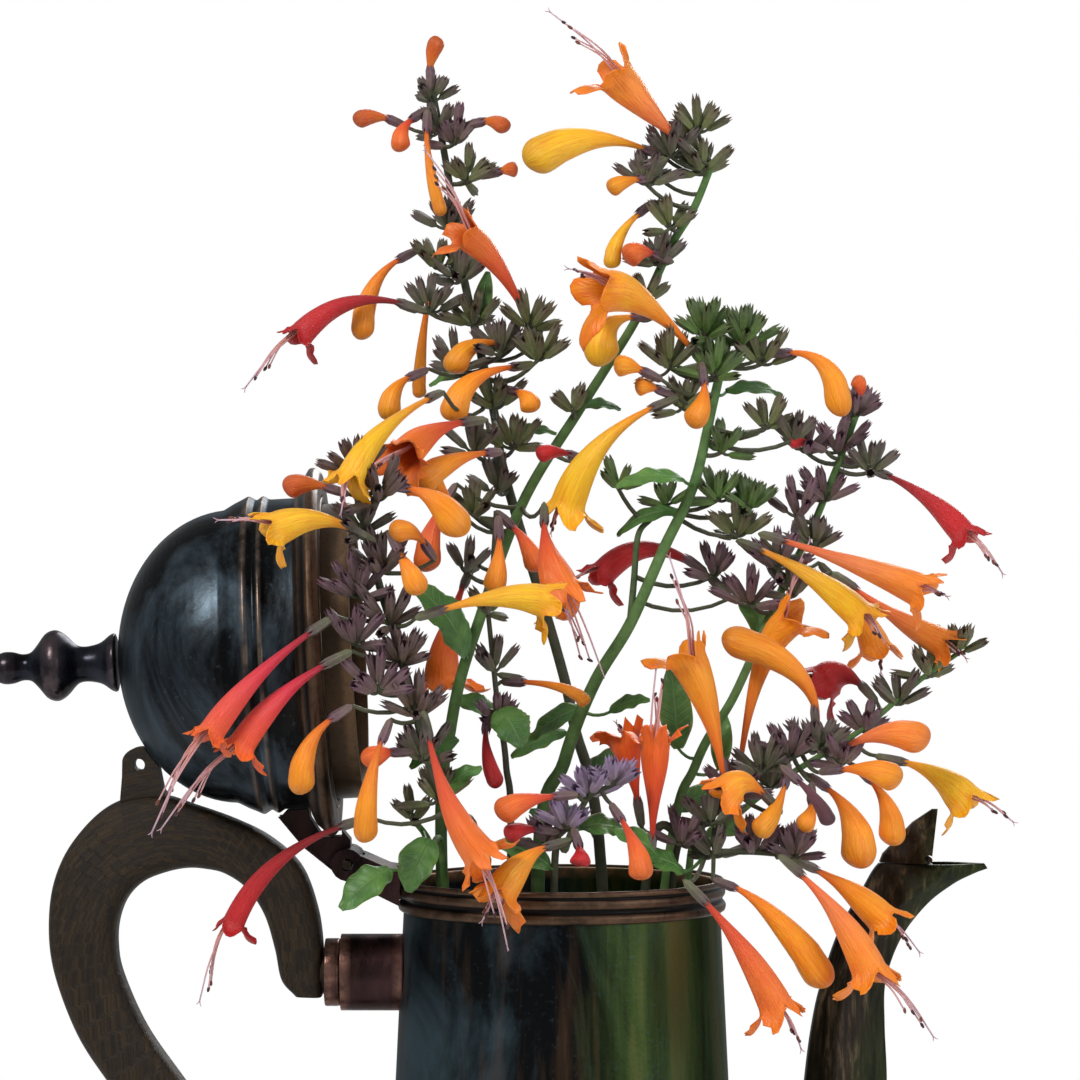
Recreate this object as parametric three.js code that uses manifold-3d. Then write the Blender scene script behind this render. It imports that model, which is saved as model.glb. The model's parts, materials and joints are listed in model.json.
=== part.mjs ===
// Agastache in vase: flowering agastache stems standing in an old metal coffee pot that serves as the vase.
// Millimetres, +Z up. The origin is on the pot's axis, at its base. +X points to the spout, -X to the handle,
// and -Y is the front.
import * as THREE from "three";
import { mergeVertices } from "three/addons/utils/BufferGeometryUtils.js";
import Module from "manifold-3d";

const wasm = await Module();
wasm.setup();

// ---------------------------------------------------------------- driving dimensions

const GAP = 0.35; // between pieces that meet
const WALL = 1.5; // sheet metal of the pot, lid and spout
const ROUND = 36; // sides of the big turned pieces
const SMALL_ROUND = 16; // sides of the small turned pieces

const POT = { height: 155, baseRadius: 46.6, rimRadius: 39.2, floor: 2.5 };
const FOOT = { radius: 52, height: 11 };
const RIM = { low: 147.5, high: 155.6, radius: 41 };
const SOCKET = { radius: 7.75, bore: 5.8, tenon: 5.4, left: -59.2 };
const HANDLE = { depth: 13, upperSocketZ: 132, lowerSocketZ: 58 };
const HINGE = { x: -53.3, z: 159.5, knuckle: 4, pin: 1.2, bore: 1.55 };
const LID = { mouthX: -57.6, mouthZ: 212.2, droop: 3, radius: 38.7, domeFrom: 23.5, apex: 53.2 };
const FLAP = { hingeX: 91.2, hingeZ: 160.6, halfWidth: 7, pin: 0.7, bore: 1.05 };
const SPOUT = { topZ: 159.2, mouthFrom: 92.4, wall: 1.4 };

// The sprigs are set out on the front elevation as seen from EYE, and each point is then pushed back (+) or
// pulled forward (-) by its depth along the line of sight, so that the outline stays as set out.
const EYE = new THREE.Vector3(-5.5, -950, 240);

// ---------------------------------------------------------------- small helpers

const v3 = (x, y, z) => new THREE.Vector3(x, y, z);

function sprigPoint([x, z, depth]) {
  const reach = (depth - EYE.y) / -EYE.y;
  return v3(EYE.x + (x - EYE.x) * reach, depth, EYE.z + (z - EYE.z) * reach);
}

const potRadius = (z) => POT.baseRadius + ((POT.rimRadius - POT.baseRadius) * z) / POT.height;

function bare(geometry) {
  const g = geometry.index ? geometry.toNonIndexed() : geometry.clone();
  const positions = new THREE.BufferGeometry();
  positions.setAttribute("position", g.getAttribute("position"));
  return mergeVertices(positions, 1e-4);
}

function solidOf(geometry) {
  const g = bare(geometry);
  const mesh = new wasm.Mesh({
    numProp: 3,
    vertProperties: new Float32Array(g.attributes.position.array),
    triVerts: new Uint32Array(g.index.array),
  });
  mesh.merge();
  return new wasm.Manifold(mesh);
}

function geometryOf(solid) {
  const mesh = solid.getMesh();
  const positions = new Float32Array(mesh.numVert * 3);
  for (let i = 0; i < mesh.numVert; i++) {
    positions.set(mesh.vertProperties.subarray(i * mesh.numProp, i * mesh.numProp + 3), i * 3);
  }
  const g = new THREE.BufferGeometry();
  g.setAttribute("position", new THREE.BufferAttribute(positions, 3));
  g.setIndex(new THREE.BufferAttribute(mesh.triVerts, 1));
  g.computeVertexNormals();
  return g;
}

// A turned solid about +Z from a profile of [radius, height] points, counter-clockwise as drawn.
function turned(profile, sides = ROUND) {
  const points = profile.map(([r, z]) => new THREE.Vector2(r, z));
  const first = profile[0];
  if (first[0] > 0 || profile[profile.length - 1][0] > 0) points.push(new THREE.Vector2(...first));
  return new THREE.LatheGeometry(points, sides).rotateX(Math.PI / 2);
}

// A skin over rings of equal point count, closed by a fan at each end.
function loft(rings) {
  const sides = rings[0].length;
  const corners = rings.flat();
  const index = [];
  for (let i = 0; i + 1 < rings.length; i++) {
    for (let k = 0; k < sides; k++) {
      const a = i * sides + k;
      const b = i * sides + ((k + 1) % sides);
      index.push(a, b, b + sides, a, b + sides, a + sides);
    }
  }
  for (const [ring, turn] of [[0, -1], [rings.length - 1, 1]]) {
    const centre = rings[ring].reduce((sum, p) => sum.clone().add(p)).divideScalar(sides);
    const hub = corners.push(centre) - 1;
    for (let k = 0; k < sides; k++) {
      const a = ring * sides + k;
      const b = ring * sides + ((k + 1) % sides);
      index.push(hub, turn > 0 ? a : b, turn > 0 ? b : a);
    }
  }
  // rings may run either way round: a negative enclosed volume means that the faces point in
  let volume = 0;
  for (let i = 0; i < index.length; i += 3) {
    volume += corners[index[i]].dot(corners[index[i + 1]].clone().cross(corners[index[i + 2]]));
  }
  if (volume < 0) index.reverse();
  const g = new THREE.BufferGeometry().setFromPoints(corners);
  g.setIndex(index);
  return g;
}

// A round tapering limb through points, with one radius for each point.
function limb(points, radii, sides) {
  const across = v3(0, 0, 0);
  const rings = points.map((p, i) => {
    const ahead = points[Math.min(i + 1, points.length - 1)].clone();
    const along = ahead.sub(points[Math.max(i - 1, 0)]).normalize();
    if (i === 0) {
      across.crossVectors(along, Math.abs(along.y) < 0.8 ? v3(0, 1, 0) : v3(1, 0, 0));
    }
    across.addScaledVector(along, -across.dot(along)).normalize();
    const other = along.clone().cross(across);
    return Array.from({ length: sides }, (_, k) => {
      const turn = (2 * Math.PI * k) / sides;
      return p
        .clone()
        .addScaledVector(across, Math.cos(turn) * radii[i])
        .addScaledVector(other, Math.sin(turn) * radii[i]);
    });
  });
  return loft(rings);
}

function smooth(points, count) {
  return new THREE.CatmullRomCurve3(points, false, "centripetal").getPoints(count);
}

// An outline of [x, z] points, thick along Y and centred on it.
function slab(outline, depth, centreY = 0) {
  const shape = new THREE.Shape(outline.map(([x, z]) => new THREE.Vector2(x, z)));
  const g = new THREE.ExtrudeGeometry(shape, { depth, bevelEnabled: false });
  return g.rotateX(Math.PI / 2).translate(0, centreY + depth / 2, 0);
}

function rod(radius, length, sides, axis, centre) {
  const g = new THREE.CylinderGeometry(radius, radius, length, sides);
  if (axis === "x") g.rotateZ(Math.PI / 2);
  if (axis === "z") g.rotateX(Math.PI / 2);
  return g.translate(...centre);
}

const arc = (cx, cy, rx, ry, from, to, steps) =>
  Array.from({ length: steps + 1 }, (_, i) => {
    const t = from + ((to - from) * i) / steps;
    return [cx + rx * Math.cos(t), cy + ry * Math.sin(t)];
  });

function material(color, roughness, metalness) {
  return new THREE.MeshStandardMaterial({ color, roughness, metalness });
}

const FINISH = {
  patina: material(0x2b2d2c, 0.45, 0.85),
  copper: material(0x4a3527, 0.4, 0.85),
  wood: material(0x2d2417, 0.55, 0),
  stem: material(0x3d5a2c, 0.7, 0),
  darkStem: material(0x2c2a26, 0.7, 0),
  leaf: material(0x4d7a3a, 0.6, 0),
  orange: material(0xf08a1c, 0.55, 0),
  yellow: material(0xf8ac1c, 0.55, 0),
  salmon: material(0xee6a34, 0.55, 0),
  red: material(0xb81c26, 0.55, 0),
};

const object = new THREE.Group();

function place(name, shape, finish) {
  const geometry = shape.isBufferGeometry ? bare(shape) : geometryOf(shape);
  geometry.computeVertexNormals();
  const mesh = new THREE.Mesh(geometry, finish);
  mesh.name = name;
  object.add(mesh);
}

// ---------------------------------------------------------------- pot

function potEnvelope() {
  const low = -20;
  const high = 200;
  return solidOf(turned([[0, low], [potRadius(low) + GAP, low], [potRadius(high) + GAP, high], [0, high]]));
}

function potBody() {
  const inside = (z) => potRadius(z) - WALL;
  let body = solidOf(
    turned([
      [0, 0],
      [potRadius(0), 0],
      [potRadius(POT.height), POT.height],
      [inside(POT.height), POT.height],
      [inside(POT.floor), POT.floor],
      [0, POT.floor],
    ]),
  );
  // strainer holes behind the spout: one in the middle and six round it
  const holes = [[0, 38]];
  for (let k = 0; k < 6; k++) holes.push([8 * Math.cos((k * Math.PI) / 3), 38 + 8 * Math.sin((k * Math.PI) / 3)]);
  for (const [y, z] of holes) body = body.subtract(solidOf(rod(2.3, 12, 8, "x", [potRadius(z), y, z])));
  return body;
}

function footRing() {
  const inner = POT.baseRadius + GAP;
  const r = FOOT.radius;
  return turned([
    [inner, 0], [r, 0], [r, 3], [r - 1.6, 4.2], [r - 1.2, 6.2], [r - 2.8, 7.6], [r - 4.2, FOOT.height], [inner, FOOT.height],
  ]);
}

function rimMoulding() {
  const inner = potRadius(RIM.low) + GAP;
  const r = RIM.radius;
  return turned([
    [inner, RIM.low], [r - 0.2, RIM.low + 0.5], [r, RIM.low + 1.9], [r - 0.9, RIM.low + 2.9], [r - 0.9, RIM.low + 3.5],
    [r - 0.2, RIM.low + 4.4], [r - 0.2, RIM.low + 5.6], [r - 0.8, RIM.low + 6.4], [r - 0.3, RIM.low + 7.2],
    [r - 0.6, RIM.high], [inner, RIM.high],
  ]);
}

// ---------------------------------------------------------------- handle and its sockets

// Each station is [outer x, outer z, inner x, inner z], from the upper end round to the lower end.
const HANDLE_STATIONS = [
  [-59.9, 126.2, -66.5, 126.4], [-59.6, 129, -70, 130.5], [-59.6, 138, -71.6, 138], [-61, 148, -74.2, 146.5],
  [-65, 158.5, -78.5, 153], [-72.5, 165.6, -84, 156.8], [-81, 170, -89, 158], [-91, 173.6, -93.5, 158.2],
  [-101, 176.4, -98.5, 157.2], [-112.5, 174, -104, 155], [-121.5, 165.5, -108.2, 151], [-126.5, 155.5, -110.5, 145.5],
  [-128, 144, -111, 139], [-126.6, 132, -109.6, 131.5], [-121, 117, -103.8, 118.5], [-113.3, 105, -95, 105.8],
  [-102, 90, -86, 94], [-90, 76.5, -77.5, 84], [-78.5, 63, -70.5, 75.5], [-69, 53.2, -65, 67.8],
  [-59.7, 50.4, -59.7, 65.6],
];

function handle() {
  const half = HANDLE.depth / 2;
  const section = [[1, 0.55], [0.72, 1], [-0.72, 1], [-1, 0.55], [-1, -0.55], [-0.72, -1], [0.72, -1], [1, -0.55]];
  const rings = HANDLE_STATIONS.map(([ox, oz, ix, iz]) =>
    section.map(([u, w]) => v3((ox + ix) / 2 + ((ox - ix) / 2) * u, half * w, (oz + iz) / 2 + ((oz - iz) / 2) * u)),
  );
  let wood = solidOf(loft(rings));
  const spur = [
    [-110.5, 172], [-109.6, 181], [-109.6, 184.4], ...arc(-105.2, 184.4, 4.4, 3.9, Math.PI * 0.94, Math.PI * 0.06, 6),
    [-100.6, 183], [-99.6, 178], [-96, 172],
  ];
  wood = wood.add(solidOf(slab(spur, 8)));
  wood = wood.subtract(solidOf(rod(1.5, 20, 10, "y", [-105.4, 0, 184])));
  for (const z of [HANDLE.upperSocketZ, HANDLE.lowerSocketZ]) {
    wood = wood.add(solidOf(rod(SOCKET.tenon, 17, SMALL_ROUND, "x", [-54.5, 0, z])));
    wood = wood.subtract(solidOf(rod(HINGE.bore, 30, 8, "y", [-51.5, 0, z])));
  }
  return wood.subtract(lidEnvelope()); // a shallow dish where the open lid leans
}

function handleSocket(z) {
  const to = -38;
  const length = to - SOCKET.left;
  const r = SOCKET.radius;
  const profile = [
    [0, 0], [r + 1.8, 0], [r + 1.8, 5.2], [r, 6.4], [r, length - 4.4], [r + 0.7, length - 3.6], [r + 0.7, length],
    [SOCKET.bore, length], [SOCKET.bore, length - 14.4], [0, length - 14.4],
  ];
  let socket = solidOf(turned(profile, SMALL_ROUND + 4).rotateY(-Math.PI / 2).translate(to, 0, z));
  socket = socket.subtract(potEnvelope());
  return socket.subtract(solidOf(rod(HINGE.bore, 30, 8, "y", [-51.5, 0, z])));
}

const handlePin = (z) => rod(HINGE.pin, 2 * SOCKET.radius + 1, 8, "y", [-51.5, 0, z]);

// ---------------------------------------------------------------- lid and its hinge

// Puts a piece made about +Z, mouth plane at 0, in its open place: axis to -X, a little nose-down.
function openLid(geometry) {
  return geometry
    .rotateY(-Math.PI / 2 - (LID.droop * Math.PI) / 180)
    .translate(LID.mouthX, 0, LID.mouthZ);
}

const domeArc = (shrink, from, to, steps) =>
  arc(0, LID.domeFrom, 36.6 - shrink, LID.apex - LID.domeFrom - shrink, from, to, steps);

function lidDome() {
  const r = LID.radius;
  const top = domeArc(0, 0, Math.PI / 2, 6);
  const under = domeArc(WALL, Math.PI / 2, 0, 6);
  top[top.length - 1][0] = 0;
  under[0][0] = 0;
  return openLid(
    turned([
      ...under, [r - WALL, 13], [r - WALL, 0], [r, 0], [r, 13.5], [r + 1, 15], [r - 0.1, 16.6], [r + 1.1, 18.6],
      [r + 0.2, 20.4], [r - 0.6, 22.2], ...top,
    ]),
  );
}

function lidFlange() {
  const inner = LID.radius + GAP;
  return openLid(
    turned([[inner, 0.2], [44.6, 0.2], [46, 1.4], [46, 3], [44.4, 4], [43.2, 5.4], [41, 6.4], [inner, 6.8]]),
  );
}

function lidBezel() {
  const outer = LID.radius - WALL - GAP;
  return openLid(turned([[outer - 1.4, -6.8], [outer, -6.8], [outer, 8], [outer - 1.4, 8]]));
}

function lidFinial() {
  const foot = LID.apex + GAP;
  return openLid(
    turned(
      [
        [0, foot], [7.4, foot], [7.2, foot + 1.4], [5, foot + 4], [4.3, foot + 7.6], [4.6, foot + 10], [7.6, foot + 12.6],
        [9.1, foot + 15], [8.4, foot + 17.6], [5.4, foot + 19.8], [3.4, foot + 21.6], [3.2, foot + 23.8],
        [4, foot + 26], [4.1, foot + 28.6], [2.8, foot + 31.2], [0, foot + 32.2],
      ],
      SMALL_ROUND,
    ),
  );
}

function lidEnvelope() {
  const r = LID.radius + GAP;
  return solidOf(
    openLid(
      turned([
        [0, -8], [r, -8], [r, -GAP], [46.4, -GAP], [46.4, 4.4], [41.4, 7.3], [r, 7.6], [r, 13], [r + 1.6, 14.6],
        [r + 1.6, 20.4], [r + 0.4, 22.6], ...domeArc(-GAP, 0.05, Math.PI / 2, 6),
      ]),
    ),
  );
}

function lidStrap() {
  const plate = slab([[-71.5, 171.8], [-64.5, 163.4], [-56, 156.6], [-50.2, 158], [-50.2, 162.4], [-55.5, 168.6], [-66, 175.5], [-71.5, 176]], 7);
  const knuckle = rod(HINGE.knuckle, 7, 16, "y", [HINGE.x, 0, HINGE.z]);
  const bore = rod(HINGE.bore, 30, 12, "y", [HINGE.x, 0, HINGE.z]);
  // the plate keeps clear of the fixed bracket to the right of the knuckle
  const right = solidOf(new THREE.BoxGeometry(20, 30, 30).translate(HINGE.x + 10 + 0.6, 0, HINGE.z));
  return solidOf(plate).subtract(right).add(solidOf(knuckle)).subtract(solidOf(bore)).subtract(lidEnvelope());
}

function hingeBracket() {
  const outline = [[-54.6, 155.8], [-50.4, 154.2], [-39, 148.6], [-39, 158.2], [-43.2, 158.8], [-49, 161.4], [-54, 163]];
  const clearance = rod(HINGE.knuckle + 0.5, 7.9, 18, "y", [HINGE.x, 0, HINGE.z]);
  const behind = new THREE.BoxGeometry(30, 7.9, 40).translate(HINGE.x - 12, 0, HINGE.z);
  const knuckles = rod(HINGE.knuckle, 18, 16, "y", [HINGE.x, 0, HINGE.z]);
  const bore = rod(HINGE.bore, 30, 12, "y", [HINGE.x, 0, HINGE.z]);
  const rim = turned([[0, 100], [RIM.radius + GAP, 100], [RIM.radius + GAP, 200], [0, 200]]);
  return solidOf(slab(outline, 18))
    .add(solidOf(knuckles))
    .subtract(solidOf(clearance))
    .subtract(solidOf(behind))
    .subtract(solidOf(bore))
    .subtract(solidOf(rim));
}

const lidHingePin = () => rod(HINGE.pin, 19.4, 12, "y", [HINGE.x, 0, HINGE.z]);

// ---------------------------------------------------------------- spout and its flap

// Each station is [back x, back z, front x, front z, half width, where the side edge stands from back to front].
const SPOUT_STATIONS = [
  [34, 66, 34, 12, 15, 0.5], [47, 67, 55, 17, 14.5, 0.5], [53, 73, 67, 33, 13, 0.45], [57, 82, 74.5, 56, 11.5, 0.4],
  [59.5, 92, 79.5, 80, 10.4, 0.35], [60.6, 105, 81, 103, 9.4, 0.33], [62.2, 117.5, 80.5, 119, 8.6, 0.33],
  [64.4, 128, 80.8, 130, 8, 0.36], [69, 141.8, 84.6, 140.6, 7.6, 0.5], [74.8, 152.3, 91, 149, 7.4, 0.62],
  [80.4, 160.2, 97.4, 154, 7.2, 0.72], [91, 163, 102.2, 156.4, 5.4, 0.6], [105.4, 159.4, 106.4, 157.9, 0.8, 0.5],
];

function spoutSkin(inset) {
  const rings = SPOUT_STATIONS.map(([bx, bz, fx, fz, half, edge]) => {
    const back = v3(bx, 0, bz);
    const front = v3(fx, 0, fz);
    const across = front.clone().sub(back);
    const span = across.length();
    const thin = Math.min(inset, span * 0.42, half * 0.42);
    across.normalize();
    const at = (share, side) => {
      const reach = thin + (span - 2 * thin) * share;
      return back.clone().addScaledVector(across, reach).setY(side * (half - thin));
    };
    return [at(0, 0.3), at(edge, 1), at(1, 0.34), at(1, -0.34), at(edge, -1), at(0, -0.3)];
  });
  return solidOf(loft(rings));
}

function spout() {
  const big = 60;
  const above = new THREE.BoxGeometry(big, big, big).translate(90, 0, SPOUT.topZ + big / 2);
  const roof = new THREE.BoxGeometry(big, big, big).translate(SPOUT.mouthFrom - big / 2, 0, SPOUT.topZ - SPOUT.wall + big / 2);
  const channel = spoutSkin(SPOUT.wall).subtract(solidOf(roof));
  return spoutSkin(0).subtract(solidOf(above)).subtract(channel).subtract(potEnvelope());
}

function hull(points) {
  return wasm.Manifold.hull(points.map(([x, y, z]) => [x, y, z]));
}

function spoutFlap() {
  const w = FLAP.halfWidth;
  const low = SPOUT.topZ + GAP;
  const shell = hull([
    [79.4, 1.8, low], [79.4, -1.8, low], [80.2, 1.8, low + 2], [80.2, -1.8, low + 2], [86, 4.4, low], [86, -4.4, low],
    [91.4, w, low], [91.4, -w, low], [91.9, w - 0.4, low + 1.8], [91.9, -w + 0.4, low + 1.8], [92.6, 0.8, 172.8],
    [92.6, -0.8, 172.8], [93.9, 0.5, 172.8], [93.9, -0.5, 172.8], [87.6, 1.2, 169.4], [87.6, -1.2, 169.4],
  ]);
  const hollow = hull([
    [88.2, 3.6, low + 1.6], [88.2, -3.6, low + 1.6], [96, w - 2.2, low + 1.6], [96, -w + 2.2, low + 1.6],
    [90.8, 0.6, 169.6], [90.8, -0.6, 169.6], [96, 1, 169.6], [96, -1, 169.6],
  ]);
  return shell.subtract(hollow).subtract(solidOf(rod(FLAP.bore, 30, 10, "y", [FLAP.hingeX, 0, FLAP.hingeZ])));
}

const flapPin = () => rod(FLAP.pin, 2 * FLAP.halfWidth + 1.6, 8, "y", [FLAP.hingeX, 0, FLAP.hingeZ]);

place("pot_body", potBody(), FINISH.patina);
place("foot_ring", footRing(), FINISH.copper);
place("rim_moulding", rimMoulding(), FINISH.copper);
place("handle", handle(), FINISH.wood);
place("upper_handle_socket", handleSocket(HANDLE.upperSocketZ), FINISH.patina);
place("lower_handle_socket", handleSocket(HANDLE.lowerSocketZ), FINISH.patina);
place("upper_handle_pin", handlePin(HANDLE.upperSocketZ), FINISH.copper);
place("lower_handle_pin", handlePin(HANDLE.lowerSocketZ), FINISH.copper);
place("lid_hinge_bracket", hingeBracket(), FINISH.patina);
place("lid_hinge_pin", lidHingePin(), FINISH.copper);
place("spout", spout(), FINISH.patina);
place("flap_hinge_pin", flapPin(), FINISH.copper);
place("spout_flap", spoutFlap(), FINISH.patina);
place("lid_dome", lidDome(), FINISH.patina);
place("lid_flange", lidFlange(), FINISH.copper);
place("lid_bezel", lidBezel(), FINISH.copper);
place("lid_finial", lidFinial(), FINISH.patina);
place("lid_strap", lidStrap(), FINISH.patina);

// ---------------------------------------------------------------- stems

// Each stem runs from the foot of the pot upwards: radii at foot and tip, then [x, z, depth] points.
const STEMS = {
  stem_1: { radii: [1.5, 0.8], finish: FINISH.darkStem, route: [[14, 12, 14], [10, 155, 12], [3, 194, 12], [-1.5, 213, 12], [-14, 255, 12], [-17, 272, 12], [-22, 294, 12], [-26.5, 315, 13], [-28, 328, 14], [-30, 340, 15], [-32.3, 352, 15]] },
  stem_2: { radii: [1.6, 0.9], finish: FINISH.stem, route: [[-22, 12, 6], [-30, 155, 6], [-27.5, 195, 5], [-20, 222, 5], [-9.5, 250, 4], [4, 272, 4], [11, 283, 3], [19, 296, 2], [27.5, 314, 0], [33, 323, -2], [37.5, 334, -4]] },
  stem_3: { radii: [1, 0.6], finish: FINISH.darkStem, route: [[-18, 12, -14], [-13, 155, -17], [-14, 184, -16], [-16, 198, -17], [-18.5, 222, -18]] },
  stem_4: { radii: [1.8, 1.1], finish: FINISH.stem, route: [[-4, 12, 0], [-6, 155, -8], [0.7, 185, -8], [8, 204, -8], [17, 219, -8], [25.5, 238, -8], [33, 254, -8], [37.5, 273, -8], [40, 284, -8]] },
  stem_5: { radii: [0.9, 0.6], finish: FINISH.darkStem, branchOf: "stem_4", route: [[17, 219, -8], [18, 230, -5], [19, 241, -3], [22, 245, -2], [26, 248, -2]] },
  stem_6: { radii: [1.3, 0.8], finish: FINISH.stem, route: [[10, 12, 2], [26, 155, 3], [33.5, 184, 2], [43, 201, 2], [51.5, 220, 2], [57, 232, 2], [62.5, 243, 2], [69, 259, 2], [73.5, 271, 2]] },
  stem_7: { radii: [1, 0.6], finish: FINISH.stem, route: [[22, 12, -2], [31, 150, -2], [36, 163, -4], [52, 178, -6], [74, 192, -8], [89.5, 205, -8], [99.5, 212, -8]] },
  stem_8: { radii: [1.2, 0.8], finish: FINISH.darkStem, route: [[16, 12, -12], [21, 155, -22], [32, 165, -23], [39.5, 174, -23], [49.5, 182, -23], [67, 190, -22]] },
  stem_9: { radii: [1.4, 0.8], finish: FINISH.darkStem, route: [[-8, 12, -12], [-20, 155, -25], [-27, 169, -36], [-33, 184, -44], [-36.5, 197, -48], [-39.5, 208, -49], [-42, 217, -49], [-46, 230, -49], [-48.5, 243, -49], [-51, 258, -49]] },
  stem_10: { radii: [1.1, 0.7], finish: FINISH.stem, route: [[-24, 12, -6], [-29, 150, -14], [-33, 164, -26], [-37, 170, -32]] },
  stem_11: { radii: [1, 0.6], finish: FINISH.darkStem, route: [[0, 12, -16], [-2, 150, -31], [1, 163, -35], [4, 171, -35], [7, 176, -35], [13, 179, -35]] },
  stem_12: { radii: [1, 0.6], finish: FINISH.darkStem, route: [[26, 12, -8], [27.5, 152, -15], [36, 161, -23], [46, 162, -26], [58, 161, -26]] },
};

// ---------------------------------------------------------------- flowers and buds

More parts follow.
